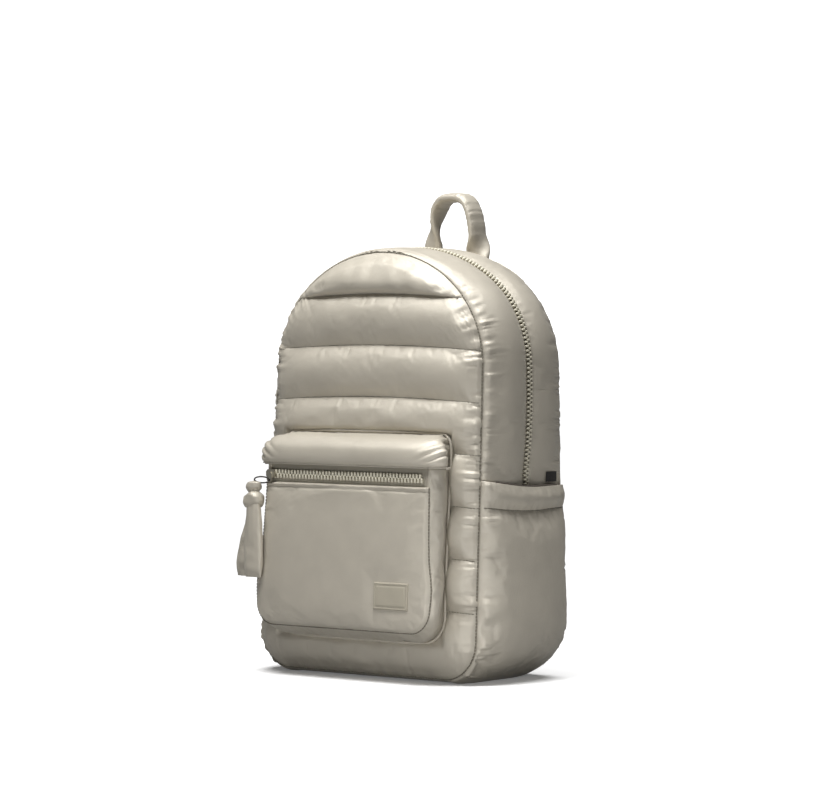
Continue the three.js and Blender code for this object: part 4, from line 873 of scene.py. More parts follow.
HOOD_AT = [0.0, 0.12, 0.3, 0.5, 0.68, 0.82, 0.92, 1.0]
HOOD_HEIGHT = [0.0, 0.12, 0.36, 0.64, 0.86, 0.96, 1.0, 0.985]
HOOD_FORWARD = [0.93, 0.985, 1.0, 0.945, 0.79, 0.55, 0.33, 0.18]
HOOD_WIDTH = [0.985, 0.992, 0.995, 0.995, 0.99, 0.985, 0.975, 0.965]
HOOD_SQUARENESS = 0.3
HOOD_CORNER = 13.0
HOOD_END_X = 122.0
HOOD_DENT_LEVELS = (232.0, 240.5, 250.0)
HOOD_DENT_DEPTH = 2.2


def pocket_hood():
    at = eased(40)
    quarter = np.pi / 2 * eased(60) ** 1.6
    turn = np.concatenate([quarter, (np.pi - quarter)[-2::-1]])
    aa, tt = np.meshgrid(at, turn, indexing="ij")
    height = curve(HOOD_AT, HOOD_HEIGHT, aa)
    forward = HOOD_DEPTH * curve(HOOD_AT, HOOD_FORWARD, aa) * np.maximum(np.sin(tt), 0.0) ** HOOD_SQUARENESS
    z = ZIP_WINDOW_HIGH + (POCKET_TOP - ZIP_WINDOW_HIGH) * height
    past = np.clip((z - POCKET_TOP) / HOOD_CORNER + 1.0, 0.0, 1.0)
    corner = POCKET_HALF_WIDTH - HOOD_CORNER * (1 - np.sqrt(1 - past**2))
    swell = smooth((forward / HOOD_DEPTH - 0.3) / 0.4) * (1 - height**4)
    half = corner * curve(HOOD_AT, HOOD_WIDTH, aa) + HOOD_SIDE_BULGE * swell
    x = half * signed_power(np.cos(tt), HOOD_SQUARENESS)
    grid = on_front(x, z, np.maximum(forward, POCKET_ROOT))
    steps = np.linalg.norm(np.diff(grid, axis=1), axis=-1)
    run = np.concatenate([np.zeros((len(at), 1)), np.cumsum(steps, axis=1)], axis=1)
    girth = aa * HOOD_GIRTH
    crease = gathers(run, girth, 121, 9, 9, 0.8)
    crease += gathers(run + 700, HOOD_GIRTH - girth, 123, 9, 10, 0.8)
    ends = np.minimum(run, run[:, -1:] - run)
    crease += gathers(girth * 1.6 + 40, ends, 125, 9, 16, 1.6)
    inner = smooth(girth / 12) * smooth((HOOD_GIRTH - girth) / 12)
    crease += 0.7 * noise2(run / 45, girth / 30 + 4, 127) * inner
    crease += 0.8 * bell(girth - 1.3, 0.9) - 1.1 * bell(girth - 3.6, 0.9)
    grid = raised(grid, crease, HOOD_MIDDLE)
    lip = grid[:1] + [0.0, 5.0, 0.5]
    back = grid[-1:] + [0.0, 6.0, 0.0]
    return np.concatenate([lip, grid, back])


def pocket_tape():
    z = np.linspace(ZIP_WINDOW_LOW - 5.0, ZIP_WINDOW_HIGH + 3.0, 8)
    x = np.linspace(-POCKET_HALF_WIDTH + 3.0, POCKET_HALF_WIDTH - 3.0, 90)
    zz, xx = np.meshgrid(z, x, indexing="ij")
    return on_front(xx, zz, POCKET_DEPTH - 0.4 + 0.25 * noise1(xx / 9.0 + 50, 131))


def piping_path():
    """A rectangle with round corners round the pocket's root, lying on the quilted front."""
    reach = PIPING_RADIUS + 0.3
    upper = (POCKET_TOP - HOOD_CORNER, HOOD_CORNER)
    lower = (POCKET_FOOT + POCKET_CORNER, POCKET_CORNER)
    points = []
    for side, start, ends in ((1, 0.0, upper), (-1, 90.0, upper), (-1, 180.0, lower), (1, 270.0, lower)):
        middle_z, corner = ends
        turn = np.radians(start + np.linspace(0.0, 90.0, 14))
        x = side * (POCKET_HALF_WIDTH - corner) + (corner + reach) * np.cos(turn)
        points.append(np.stack([x, middle_z + (corner + reach) * np.sin(turn)], 1))
    line = np.concatenate(points + [points[0][:1]])
    run = run_along(line)
    at = np.arange(0.0, run[-1] - PIPING_STEP / 2, PIPING_STEP)
    line = np.stack([np.interp(at, run, line[:, k]) for k in (0, 1)], 1)
    depth = front_depth(line[:, 0], line[:, 1])
    depth = np.mean([np.roll(depth, shift) for shift in range(-15, 16)], axis=0)
    return on_front(line[:, 0], line[:, 1], depth + PIPING_RADIUS * 0.4)


PATCH_WIDTH = 46.0
PATCH_HEIGHT = 28.0
PATCH_EDGE_X = 95.0
PATCH_FOOT = 76.0


def face_depth(x, z):
    share = (z - FACE_FOOT) / (ZIP_WINDOW_LOW - FACE_FOOT)
    return POCKET_DEPTH + SEAM_WALL + face_crown(x / face_outline(z), share)


def patch_sheet():
    u, v = np.meshgrid(np.linspace(0.0, 1.0, 47), np.linspace(0.0, 1.0, 29), indexing="ij")
    x = PATCH_EDGE_X - PATCH_WIDTH * u
    z = PATCH_FOOT + PATCH_HEIGHT * v
    edge = np.minimum(np.minimum(u, 1 - u) * PATCH_WIDTH, np.minimum(v, 1 - v) * PATCH_HEIGHT)
    raise_ = 1.2 * smooth(edge / 1.0) - 0.8 * bell(edge - 3.0, 0.8)
    return on_front(x, z, face_depth(x, z) + 0.2 + raise_)


# Threads: length along the seam, width and rise
QUILT_THREAD = (2.6, 0.9, 0.7)
HEM_THREAD = (2.6, 1.0, 0.7)
POCKET_THREAD = (2.7, 1.1, 0.8)
SEAM_THREAD = (2.8, 1.3, 0.8)
STITCH_PITCH = 3.4


def stitch_row(points, outs):
    """Places, directions and outward directions of the stitches along a path."""
    outs = np.broadcast_to(np.asarray(outs, float), points.shape)
    run = run_along(points)
    at = np.arange(STITCH_PITCH / 2, run[-1] - STITCH_PITCH / 4, STITCH_PITCH)
    place, along = along_path(points, run, at)
    out = np.stack([np.interp(at, run, outs[:, k]) for k in range(3)], axis=-1)
    out -= along * np.sum(out * along, axis=-1, keepdims=True)
    out = unit(out)
    return place, along, out


# The pull, the tassel and the haul handle

PULL_X = -104.0
TEETH_MIDDLE = 209.5
KNOT_X = -123.0
KNOT_TOP = 202.0
KNOT_HEIGHT = 30.0
KNOT_WIDTH = 24.0
TAIL_LENGTH = 72.0
TAIL_WIDTH = 24.0
TAIL_THICKNESS = 9.0
KNOT_DEPTH = POCKET_DEPTH + FACE_CROWN + TAIL_THICKNESS * 0.4


def pull_loop():
    eye = on_front(PULL_X, TEETH_MIDDLE - 6.4, POCKET_DEPTH + 6.1)
    knot = on_front(KNOT_X, KNOT_TOP + 0.6, KNOT_DEPTH)
    middle = (eye + knot) / 2
    along = (eye - knot) / 2
    half = np.linalg.norm(along)
    along = along / half
    aside = np.array([-0.3, -0.45, 0.85])
    aside -= along * np.dot(aside, along)
    aside /= np.linalg.norm(aside)
    turn = around(64)[:, None]
    return middle + along * half * np.cos(turn) + aside * 3.6 * np.sin(turn)


TAIL_AT = [-0.14, 0.04, 0.25, 0.6, 0.9, 1.0]
TAIL_WIDE = [0.5, 0.78, 0.92, 1.0, 0.98, 0.9]
TAIL_THICK = [0.6, 0.8, 1.0, 1.0, 0.85, 0.3]
TAIL_ASIDE = [0.0, 0.0, 0.3, 0.75, 0.98, 1.0]


def tail_rings(start, shift, width, ahead, seed, rumple=0.7):
    at = mix(-0.14, 1.0, eased(60))[:, None]
    turn = around(40)[None, :]
    knot_z = KNOT_TOP - KNOT_HEIGHT / 2
    z = knot_z - KNOT_HEIGHT * 0.45 - TAIL_LENGTH * at
    wide = width / 2 * curve(TAIL_AT, TAIL_WIDE, at)
    thick = TAIL_THICKNESS / 2 * curve(TAIL_AT, TAIL_THICK, at)
    across = wide * signed_power(np.cos(turn), 0.75)
    forward = thick * signed_power(np.sin(turn), 0.8)
    fold = noise1(across / 3.2 + 40.0, seed) * np.exp(-np.maximum(at - 0.02, 0.0) * 4.5)
    forward = forward + np.sign(np.sin(turn)) * 1.6 * fold
    lumps = noise2(at * 9 + 3, np.cos(turn) * 2 + 5, seed + 1)
    forward = forward + rumple * lumps * np.sign(np.sin(turn))
    x = KNOT_X + start + shift * curve(TAIL_AT, TAIL_ASIDE, at) + across
    return on_front(x, z + 0 * turn, KNOT_DEPTH + ahead + forward)


KNOT_AT = [0.0, 0.08, 0.2, 0.32, 0.4, 0.5, 0.66, 0.84, 0.94, 1.0]
KNOT_SIZE = [0.4, 0.64, 0.76, 0.7, 0.52, 0.84, 1.0, 0.96, 0.78, 0.55]


def knot_rings():
    """A knot of folded cloth: a small lobe over a larger one, with slanted wraps."""
    down = mix(0.0, 1.0, eased(70))[:, None]
    turn = around(56)[None, :]
    slant = down + 0.07 * np.sin(turn + 0.9)
    size = curve(KNOT_AT, KNOT_SIZE, np.clip(slant, 0.0, 1.0))
    size = size * smooth(down / 0.06) * smooth((1 - down) / 0.06)
    fold = 0.06 * np.sin(turn * 3 + down * 9.0) + 0.05 * noise2(turn * 2.2 + 3.0, down * 9.0 + 2.0, 149)
    size = np.maximum(0.02, size * (1 + fold * hump(down)))
    x = KNOT_X + KNOT_WIDTH / 2 * size * np.cos(turn)
    depth = KNOT_DEPTH + KNOT_WIDTH * 0.4 * size * np.sin(turn)
    z = KNOT_TOP - KNOT_HEIGHT * down + 0 * turn
    return np.stack([x, front_y(KNOT_TOP - KNOT_HEIGHT / 2) - depth, z], axis=-1)


HANDLE_SPREAD = 62.0
HANDLE_RISE = 64.0
HANDLE_WIDTH = 25.5
HANDLE_THICKNESS = 10.0


def haul_handle():
    arch_share_there = math.sqrt(1 - (HANDLE_SPREAD / 2 / SEAM_HALF_WIDTH) ** 2)
    foot = ARCH_FOOT + ARCH_RISE * arch_share_there - HANDLE_THICKNESS
    top = SEAM_TOP + HANDLE_RISE - HANDLE_THICKNESS / 2
    angle = np.linspace(0.0, np.pi, 121)
    side = np.where(np.cos(angle) < 0, -1.0, 1.0)
    x = HANDLE_SPREAD / 2 * signed_power(np.cos(angle), 0.6)
    z = mix(foot, top, np.sin(angle) ** 0.85)
    slope = np.stack([np.cos(angle), np.sin(angle) * 0.8], 1)
    slope = unit(slope)
    out = np.stack([slope[:, 0], 0 * angle, slope[:, 1]], 1)
    left = side < 0
    turn = np.pi / 2 * smooth((np.sin(angle) - np.where(left, 0.08, 0.0)) / np.where(left, 0.78, 0.4))
    level = smooth(np.sin(angle) / 0.3)[:, None]
    upright = np.stack([side, 0 * angle, 0 * angle], 1) * (1 - level) + out * level
    upright = unit(upright)
    face = np.stack([0 * angle, -np.cos(turn), 0 * angle], 1) + upright * np.sin(turn)[:, None]
    tangent = np.stack([-upright[:, 2], 0 * angle, upright[:, 0]], 1)
    wide = np.cross(tangent, face)
    centre = np.stack([x, np.full(len(angle), BACK_Y + SEAM_WALL / 2), z], 1)
    ring = around(40)
    across = HANDLE_WIDTH / 2 * signed_power(np.cos(ring), 0.7)
    up = HANDLE_THICKNESS / 2 * signed_power(np.sin(ring), 0.8)
    run = np.concatenate([[0.0], np.cumsum(np.hypot(np.diff(x), np.diff(z)))])[:, None]
    from_edge = HANDLE_WIDTH / 2 - np.abs(across)[None, :]
    crease = gathers(run + 200 * (np.sin(ring) < 0), from_edge, 141, 7, 8, 0.9)
    up = up[None, :] + np.sign(np.sin(ring))[None, :] * crease
    return centre[:, None] + wide[:, None] * across[None, :, None] + face[:, None] * up[..., None]


# The shoulder straps

BACK_FACE_Y = BACK_Y + SEAM_WALL + BACK_CROWN + BACK_PUFF
STRAP_WIDTH = 54.0
STRAP_THICKNESS = 11.0
STRAP_STANDOFF = 19.0
STRAP_ASIDE = [0.27, 0.285, 0.34, 0.43, 0.52, 0.59, 0.63]
STRAP_STAND = [-0.35, 0.35, 0.85, 1.0, 0.98, 0.8, 0.6]
STRAP_HEIGHT = [0.905, 0.888, 0.82, 0.71, 0.6, 0.49, 0.4]
STRAP_WIDE = [0.85, 0.95, 1.0, 1.0, 0.95, 0.8, 0.6]
STRAP_STITCH_INSET = 5.0
STRAP_GROOVE = 1.1


def strap_frame(side):
    """The strap's line from its seam down, its directions across and off its face, and half its width."""
    at = np.linspace(0.0, 6.0, 120)
    table = np.arange(7.0)
    centre = np.stack([side * SEAM_HALF_WIDTH * curve(table, STRAP_ASIDE, at),
                       BACK_FACE_Y + STRAP_STANDOFF * curve(table, STRAP_STAND, at),
                       SEAM_TOP * curve(table, STRAP_HEIGHT, at)], axis=1)
    along = np.gradient(centre, axis=0)
    along = unit(along)
    aside = np.cross([0.0, 1.0, 0.0], along)
    aside = unit(aside)
    return centre, aside, np.cross(along, aside), STRAP_WIDTH / 2 * curve(table, STRAP_WIDE, at)


def shoulder_strap(side):
    """A padded strap with a sewn groove inside each edge, closed and rounded at both ends."""
    centre, aside, off, half = strap_frame(side)
    run = run_along(centre)
    turn = around(60)[None, :]
    across_share = signed_power(np.cos(turn), 0.6)
    rise = signed_power(np.sin(turn), 0.75)
    from_edge = (1 - np.abs(across_share)) * half[:, None]
    groove = STRAP_GROOVE * bell(from_edge - STRAP_STITCH_INSET, 1.3)
    crease = gathers(run[:, None] + 300.0 * (rise < 0), from_edge, 161, 9, 7, 0.6)
    end = np.clip(np.minimum(run, run[-1] - run) / 4.0, 0.02, 1.0)[:, None]
    closing = np.sqrt(1 - (1 - end) ** 2)
    thick = (STRAP_THICKNESS / 2 * rise + np.sign(rise) * (crease - groove)) * closing
    wide = across_share * half[:, None] * mix(0.93, 1.0, closing)
    return centre[:, None] + aside[:, None] * wide[..., None] + off[:, None] * thick[..., None]


def strap_stitches(side):
    centre, aside, off, half = strap_frame(side)
    share = 1 - STRAP_STITCH_INSET / half
    rise = np.sqrt(1 - share ** (2 / 0.6)) ** 0.75 * STRAP_THICKNESS / 2 - STRAP_GROOVE - 0.1
    rows = []
    for face in (1.0, -1.0):
        for edge in (1.0, -1.0):
            line = centre + aside * (edge * (half - STRAP_STITCH_INSET))[:, None]
            line = line + off * (face * rise)[:, None]
            rows.append(stitch_row(line[4:-4], off[4:-4] * face))
    return rows


# Cloth simulation of the padded pieces

CLOTH_FRAMES = 16
CLOTH_SETTINGS = {
    "quality": 5, "mass": 0.15, "tension_stiffness": 15.0, "compression_stiffness": 15.0,
    "shear_stiffness": 5.0, "bending_stiffness": 0.02, "air_damping": 2.0, "use_pressure": True,
    "vertex_group_mass": "held", "vertex_group_shrink": "loose",
}


def edges_held(grid, rows=(2, 2), cols=(2, 2)):
    """Which points of a grid are sewn down: so many rows and columns at its ends."""
    held = np.ones(grid.shape[:2], bool)
    held[rows[0]:-rows[1], cols[0]:-cols[1]] = False
    return held


def weigh(group, shares):
    """Vertex weights from 0 to 1, in steps of a sixteenth."""
    level = np.round(shares.ravel() * 16).astype(int)
    for step in range(1, 17):
        group.add(np.flatnonzero(level == step).tolist(), step / 16, "REPLACE")


def cloth_object(name, grid, middle, held, pressure, spare):
    """A sheet of cloth; spare is the share by which it is cut larger than its place, point by point."""
    least, most = float(spare.min()), float(spare.max())
    index = np.arange(grid[..., 0].size).reshape(grid.shape[:2])
    faces = grid_faces(index, not outward_normals(grid, middle)[1])
    obj = make_object(name, grid, faces.tolist(), NYLON)
    weigh(obj.vertex_groups.new(name="held"), held.astype(float))
    cloth = obj.modifiers.new("cloth", "CLOTH")
    weigh(obj.vertex_groups.new(name="loose"), (spare - least) / max(most - least, 1e-6))
    for key, value in CLOTH_SETTINGS.items():
        setattr(cloth.settings, key, value)
    cloth.settings.shrink_min = -least
    cloth.settings.shrink_max = -most
    cloth.settings.uniform_pressure_force = pressure
    cloth.settings.effector_weights.gravity = 0.0
    cloth.collision_settings.use_collision = False
    cloth.point_cache.frame_start = 1
    cloth.point_cache.frame_end = CLOTH_FRAMES
    return obj


def simulate(pieces):
    """The grids after cloth simulation; each row has a grid, middle, held, pressure, spare and cap."""
    scene = bpy.context.scene
    objects = {name: cloth_object(name, *row[:5]) for name, row in pieces.items()}
    for number in range(1, CLOTH_FRAMES + 1):
        scene.frame_set(number)
    depsgraph = bpy.context.evaluated_depsgraph_get()
    result = {}
    for name, obj in objects.items():
        grid, cap = pieces[name][0], pieces[name][5]
        evaluated = obj.evaluated_get(depsgraph)
        points = np.empty(len(evaluated.data.vertices) * 3)
        evaluated.data.vertices.foreach_get("co", points)
        move = points.reshape(grid.shape) * 1000.0 - grid
        size = np.linalg.norm(move, axis=-1, keepdims=True)
        cap = np.asarray(cap, float)[..., None]
        result[name] = grid + move * np.minimum(1.0, cap / np.maximum(size, 1e-9))
    scene.frame_set(1)
    for obj in objects.values():
        mesh = obj.data
        bpy.data.objects.remove(obj)
        bpy.data.meshes.remove(mesh)
    return result


# Assembly


def near_node(grid, node, reach, axes):
    """Which points of a grid lie within reach of a CAD node's box, by the axes given."""
    low, high = (np.array(corner)[axes] * 1000.0 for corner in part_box(node))
    return ((grid[..., axes] > low - reach) & (grid[..., axes] < high + reach)).all(axis=-1)


def front_row():
    grid = front_panel()
    x, z = grid[..., 0], grid[..., 2]
    held = edges_held(grid)
    held[1:-1:CHANNEL_STEPS] = True
    held |= under_pocket(x, z) > 0.4
    away, _ = nearest(outline_points(FRONT_CORNER), x, z)
    low = below_top(z, 25.0, 70.0)
    held |= (away < 5.0) & (z > 360.0)
    spare = 0.004 + 0.10 * low * bell(away, 13.0)
    return grid, MIDDLE, held, 3.0, spare, 1.0 + 2.6 * low


def back_row():
    grid = back_panel()
    held = edges_held(grid)
    held[1:-1:BACK_STEPS] = True
    x, z = grid[..., 0], grid[..., 2]
    held |= near_node(np.abs(grid), "strap_anchor_right", 8.0, [0, 2])
    held |= (np.abs(x) < 72) & (z > 372) & (z < 412)
    away, _ = nearest(outline_points(BACK_CORNER), x, z)
    return grid, MIDDLE, held, 2.0, 0.012 + 0.07 * bell(away, 15.0), 3.0


def gusset_row(is_front):
    grid = upper_gusset(is_front)
    length = GUSSET_LENGTH[is_front]
    share = np.concatenate([[0.0], eased(GUSSET_STEPS[is_front]), [1.0]])[None, :] * length
    z = grid[..., 2]
    low = smooth((SEAM_TOP * 0.96 - z) / 90.0)
    spare = 0.006 + (0.10 if is_front else 0.06) * bell(share, 13.0) * low
    spare = spare + 0.03 * bell(length - share, 8.0) * low
    held = edges_held(grid, rows=(1, 1))
    cap = 0.6 + 2.4 * low
    if not is_front:
        held |= near_node(grid, "side_label", 6.0, [0, 1, 2])
    return grid, MIDDLE, held, 2.0, spare, cap


def side_row(side):
    grid = side_pocket(side)
    held = edges_held(grid)
    held[1 + CREASE_ROW] = True
    share = np.concatenate([[0.0], eased(POUCH_STEPS), [1.0]])[None, :] * DEPTH_AT_FOOT
    edge = np.minimum(share, DEPTH_AT_FOOT - share)
    below_crease = np.maximum(0.0, np.arange(len(grid)) - 1.0 - CREASE_ROW)[:, None] * 2.5
    spare = 0.014 + 0.09 * bell(edge, 15.0) + 0.04 * bell(below_crease, 16.0)
    return grid, SIDE_MIDDLES[side], held, 2.5, spare, 3.5


def face_row():
    grid = pocket_face()
    held = edges_held(grid, rows=(2, 3))
    away, _ = nearest(face_line(), grid[..., 0], grid[..., 2])
    x, z = grid[..., 0], grid[..., 2]
    aside = np.abs(x - PATCH_EDGE_X + PATCH_WIDTH / 2) - PATCH_WIDTH / 2
    above = np.abs(z - PATCH_FOOT - PATCH_HEIGHT / 2) - PATCH_HEIGHT / 2
    held |= np.maximum(aside, above) < 2.5
    flank = bell(away, 13.0) * smooth((z - FACE_FOOT - 10.0) / 25.0)
    return grid, FACE_MIDDLE, held, 1.4, 0.003 + 0.06 * flank, 1.6


def pocket_side_row():
    grid = pocket_gusset()
    held = edges_held(grid, rows=(2, 2), cols=(8, 2))
    spare = 0.012 + 0.02 * smooth((grid[..., 2] - FACE_FOOT - 12.0) / 20.0)
    return grid, POCKET_MIDDLE, held, 1.4, spare, 2.0


def hood_row():
    grid = pocket_hood()
    held = edges_held(grid, rows=(2, 2), cols=(3, 3))
    ends = np.minimum(np.arange(grid.shape[1]), np.arange(grid.shape[1])[::-1])[None, :]
    spare = np.broadcast_to(0.014 + 0.06 * bell(ends, 26.0), grid.shape[:2])
    return grid, HOOD_MIDDLE, held, 1.8, spare, 2.5


soft = simulate({
    "front": front_row(), "back": back_row(),
    "gusset_front": gusset_row(True), "gusset_back": gusset_row(False),
    "side_right": side_row(1), "side_left": side_row(-1),
    "face": face_row(), "pocket_side": pocket_side_row(), "hood": hood_row(),
})

AHEAD = np.array([0.0, -1.0, 0.0])


def puckered(grid, along, away, seed, pitch, reach, depth, middle=MIDDLE):
    """Sharp little creases added beside a seam."""
    return raised(grid, gathers(along, away, seed, pitch, reach, depth), middle)


quilt = soft["front"]
seam_away, seam_along = nearest(outline_points(FRONT_CORNER), quilt[..., 0], quilt[..., 2])
below_arch = below_top(quilt[..., 2], 25.0, 70.0) * smooth((quilt[..., 2] - 35.0) / 50.0)
quilt = puckered(quilt, seam_along, seam_away, 171, 5.5, 10.0, 1.5 * below_arch)
sheet("front_quilt", quilt, WALL, MIDDLE, "front_panel", 0.85)
channel_rows = []
for line in quilt[1 + CHANNEL_STEPS:-2:CHANNEL_STEPS, 2:-2]:
    halves = [line]
    if POCKET_FOOT < line[0, 2] < POCKET_TOP:
        line = line[under_pocket(line[:, 0], line[:, 2]) < 0.3]
        halves = [line[line[:, 0] < 0], line[line[:, 0] >= 0]]
    channel_rows += [stitch_row(part - AHEAD * 0.3, AHEAD) for part in halves]
sew("quilt_stitches", channel_rows, QUILT_THREAD)
edge_line = outline_points(FRONT_CORNER)
edge_line = edge_line[np.argsort(np.arctan2(edge_line[:, 1] - 200.0, edge_line[:, 0]))]
edge_path = on_front(edge_line[:, 0], edge_line[:, 1], np.full(len(edge_line), 0.9))
# Dark stitches along the front seam: real thread, darkened to paint the shade of the seam groove
sew("seam_stitches", [stitch_row(edge_path, AHEAD)], SEAM_THREAD)
sheet("back_pad", soft["back"], WALL, MIDDLE, "back_panel", 0.8)
BEHIND = np.array([0.0, 1.0, 0.0])
back_rows = 1 + np.arange(BACK_STEPS, len(soft["back"]) - 3, BACK_STEPS)
back_lines = [stitch_row(soft["back"][index, 2:-2] - BEHIND * 0.3, BEHIND) for index in back_rows]
sew("back_stitches", back_lines, QUILT_THREAD)
band = soft["gusset_front"]
band_along = nearest(outline_points(FRONT_CORNER), band[..., 0], band[..., 2])[1]
band_low = below_top(band[..., 2], 25.0, 70.0)
from_seam = np.maximum(0.0, band[..., 1] - front_y(band[..., 2]))
band = puckered(band, band_along, from_seam, 173, 6.0, 11.0, 1.3 * band_low)
sheet("front_gusset", band, WALL, MIDDLE, "gusset_front", 0.6)
sheet("rear_gusset", soft["gusset_back"], WALL, MIDDLE, "gusset_back", 0.6)
sheet("base_band", base_gusset(), WALL, (0.0, 10.0, 120.0), "base_gusset", 0.6)
for side, word in ((1, "right"), (-1, "left")):
    pouch = soft[f"side_{word}"]
    from_seam = np.maximum(0.0, pouch[..., 1] - front_y(pouch[..., 2]))
    pouch = puckered(pouch, pouch[..., 2], from_seam, 175 + side, 9.0, 14.0, 2.4, SIDE_MIDDLES[side])
    hem_row = stitch_row(pouch[1 + CREASE_ROW, 3:-3], (side, 0.0, 0.0))
    sew(f"hem_stitches_{word}", [hem_row], HEM_THREAD)
    sheet(f"side_pouch_{word}", pouch, THIN_WALL, SIDE_MIDDLES[side], f"side_pocket_{word}", 0.6)
    # A near-black strip inside the pocket's mouth: painted shade of the opening
    strip = shell(f"elastic_{word}", pocket_elastic(side), 1.2, (0.0, 10.0, 150.0), POCKET_MOUTH_SHADE)
    dress(strip, "dark_elastic", f"pocket_elastic_{word}")

points, outs = zip_path()
across_tape = np.linspace(-ZIP_TAPE_WIDTH / 2 - 1.5, ZIP_TAPE_WIDTH / 2 + 1.5, 7)
tape = points[:, None] + np.stack([0 * across_tape, across_tape, 0 * across_tape], 1)[None]
sheet("main_tape", tape, 1.0, MIDDLE, "main_zipper", slot="zipper_tape", material=TAPE)
dress(zip_teeth("main_teeth", points, outs, 4.0, 2.9), "zipper_tape")

sheet("pocket_front", soft["face"], WALL, FACE_MIDDLE, "pocket_face", 0.6)
face_seam = face_line()
seam_path = on_front(face_seam[:, 0], face_seam[:, 1], np.full(len(face_seam), POCKET_DEPTH + 0.6))
sew("pocket_stitches", [stitch_row(seam_path, AHEAD)], POCKET_THREAD)
sheet("pocket_side", soft["pocket_side"], THIN_WALL, POCKET_MIDDLE, "pocket_gusset")
hood = soft["hood"]
hood_end = HOOD_END_X - np.abs(hood[..., 0])
slanted = hood[..., 2] + 0.5 * hood_end + np.where(hood[..., 0] > 0, 0.0, 3.0)
dent = sum(bell(slanted - level, 1.7) for level in HOOD_DENT_LEVELS)
dent *= bell(np.maximum(0.0, hood_end - 4.0), 17.0) * smooth((hood[..., 2] - ZIP_WINDOW_HIGH - 4) / 4)
hood = raised(hood, -HOOD_DENT_DEPTH * dent, HOOD_MIDDLE)
sheet("hood", hood, THIN_WALL, HOOD_MIDDLE, "pocket_hood", 0.7)
sheet("pocket_tape", pocket_tape(), 1.0, FACE_MIDDLE, "pocket_zipper", slot="zipper_tape", material=TAPE)
chain_x = np.linspace(PULL_X, -PULL_X, 200)
chain = on_front(chain_x, TEETH_MIDDLE, POCKET_DEPTH - 0.3)
dress(zip_teeth("pocket_teeth", chain, np.tile(AHEAD, (200, 1)), 5.0, 3.0), "zipper_tape")
dress(ring_tube("piping", piping_path(), PIPING_RADIUS, NYLON), "cloth", "pocket_piping")
sheet("blank_patch", patch_sheet(), 1.2, FACE_MIDDLE, "patch", slot="patch_cloth", material=PATCH)

dress(ring_tube("cord_loop", pull_loop(), 0.8, CORD, 8), "dark_cord", "pull_loop")
dress(loft("knot", knot_rings(), NYLON), "cloth", "tassel")
right_tail = tail_rings(TAIL_WIDTH * 0.12, TAIL_WIDTH * 0.15, TAIL_WIDTH, TAIL_THICKNESS * 0.3, 151)
dress(loft("tail_right", right_tail, NYLON), "cloth")
left_width = TAIL_WIDTH * 0.8
left_tail = tail_rings(-TAIL_WIDTH * 0.15, -TAIL_WIDTH * 0.5, left_width, -TAIL_THICKNESS * 0.7, 155, 1.8)
dress(loft("tail_left", left_tail, NYLON), "cloth")
dress(loft("handle", haul_handle(), NYLON), "cloth", "haul_handle", padded=0.7)

for side, word in ((1, "right"), (-1, "left")):
    strap = loft(f"strap_{word}", shoulder_strap(side), NYLON)
    dress(strap, "cloth", f"shoulder_strap_{word}", padded=0.8)
    sew(f"strap_stitches_{word}", strap_stitches(side), QUILT_THREAD)

carried = {"main_slider_1": METAL, "main_slider_2": METAL, "pocket_slider": METAL, "side_label": LABEL}
for word in ("right", "left"):
    carried[f"strap_webbing_{word}"] = WEBBING
    carried[f"ladder_lock_{word}"] = PLASTIC
    carried[f"strap_anchor_{word}"] = NYLON
for node, material in carried.items():
    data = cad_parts[node].data
    data.materials.clear()
    data.materials.append(material)


# The camera, the floor and the light


def add_camera():
    angle = math.radians(CAMERA_AZIMUTH)
    data = bpy.data.cameras.new("camera")
    data.sensor_width = 36.0
    data.lens = CAMERA_LENS
    data.clip_end = 50.0
    camera = link("camera", data)
    across = math.sin(angle) * CAMERA_DISTANCE
    ahead = -math.cos(angle) * CAMERA_DISTANCE + CAMERA_CENTRE_Y
    camera.location = (across, ahead, CAMERA_HEIGHT)
    tilt = math.radians(90.0 - CAMERA_PITCH)
    camera.rotation_euler = (tilt, 0.0, math.radians(CAMERA_AZIMUTH + CAMERA_YAW))
    bpy.context.scene.camera = camera


def unlike_for_camera(tree, other, seen, output):
    """The seen shader for the camera's own rays, and the other one for the light's."""
    ray = add_node(tree, "LightPath", {}).outputs["Is Camera Ray"]
    mixer = add_node(tree, "MixShader", {"Fac": ray, 1: other, 2: seen})
    add_node(tree, output, {"Surface": mixer.outputs["Shader"]})


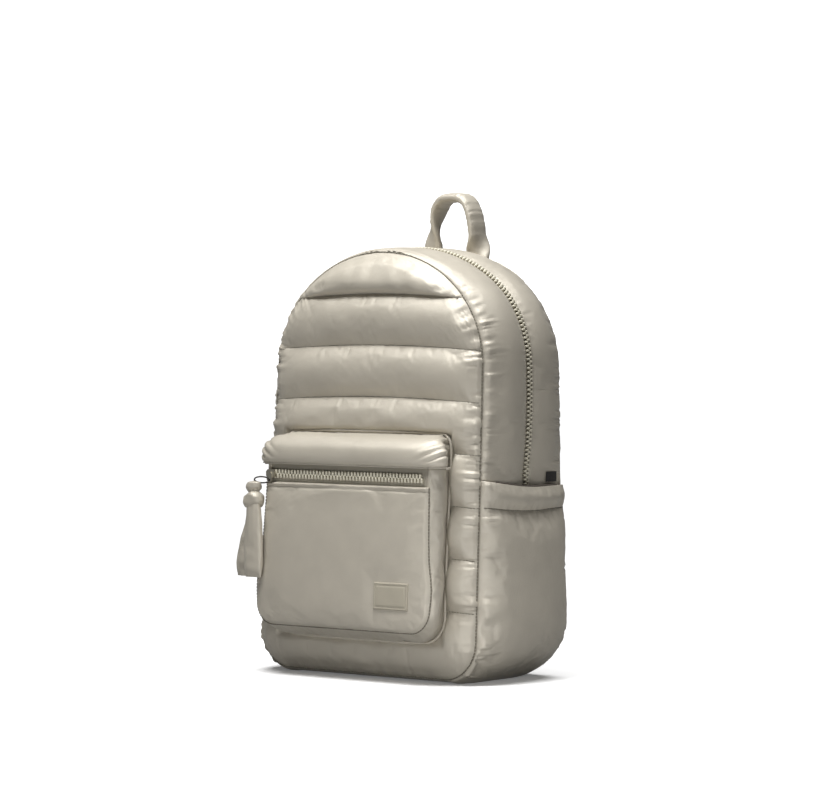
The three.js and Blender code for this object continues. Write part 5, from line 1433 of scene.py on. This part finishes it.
def floor_material():
    """White to the camera, and dimmer in the light that it throws back on the bag."""
    material = bpy.data.materials.new("floor")
    material.use_nodes = True
    tree = material.node_tree
    tree.nodes.clear()
    bounce = add_node(tree, "BsdfDiffuse", {"Color": (FLOOR_BOUNCE, FLOOR_BOUNCE, FLOOR_BOUNCE, 1.0)})
    white = add_node(tree, "BsdfDiffuse", {"Color": (1.0, 1.0, 1.0, 1.0)})
    glow = add_node(tree, "Emission", {"Strength": FLOOR_GLOW})
    both = add_node(tree, "AddShader", {0: white.outputs["BSDF"], 1: glow.outputs["Emission"]})
    unlike_for_camera(tree, bounce.outputs["BSDF"], both.outputs["Shader"], "OutputMaterial")
    return material


def add_floor():
    mesh = bpy.data.meshes.new("floor")
    corners = [(x * FLOOR_REACH, y * FLOOR_REACH, 0.0) for x, y in ((-1, -1), (1, -1), (1, 1), (-1, 1))]
    mesh.from_pydata(corners, [], [(0, 1, 2, 3)])
    mesh.materials.append(floor_material())
    link("floor", mesh)


def add_sun(tilt, turn, width, strength):
    """A very wide light from above, tilted from the vertical towards an azimuth; degrees."""
    data = bpy.data.lights.new("sky", "SUN")
    data.angle = math.radians(width)
    data.energy = strength
    light = link("sky", data)
    light.rotation_euler = (math.radians(tilt), 0.0, math.radians(turn))


def add_area(name, place, target, size, power):
    data = bpy.data.lights.new(name, "AREA")
    data.shape = "RECTANGLE"
    data.size, data.size_y = size
    data.energy = power
    light = link(name, data)
    light.location = place
    away = np.asarray(target, float) - np.asarray(place, float)
    flat = math.hypot(away[0], away[1])
    light.rotation_euler = (math.atan2(flat, -away[2]), 0.0, math.atan2(away[1], away[0]) - math.pi / 2)


def add_world(light, seen):
    """Dim even light on the object, and a white backdrop for the camera."""
    world = bpy.data.worlds.new("world")
    bpy.context.scene.world = world
    world.use_nodes = True
    tree = world.node_tree
    tree.nodes.clear()
    dim = add_node(tree, "Background", {"Color": (1.0, 1.0, 1.0, 1.0), "Strength": light})
    bright = add_node(tree, "Background", {"Color": (1.0, 1.0, 1.0, 1.0), "Strength": seen})
    unlike_for_camera(tree, dim.outputs["Background"], bright.outputs["Background"], "OutputWorld")


FLOOR_BOUNCE = 0.26
FLOOR_GLOW = 0.12
FLOOR_REACH = 12.0

add_camera()
add_floor()
add_world(0.02, 1.6)
add_sun(8.0, 150.0, 44.0, 2.9)
add_area("key", (-0.03, -0.5, 1.3), (0.0, 0.0, 0.38), (0.7, 0.4), 14.5)
add_area("floor_glow", (0.36, -0.42, 0.01), (0.06, -0.05, 0.03), (0.7, 0.15), 2.0)
bpy.context.scene.view_settings.view_transform = "Standard"

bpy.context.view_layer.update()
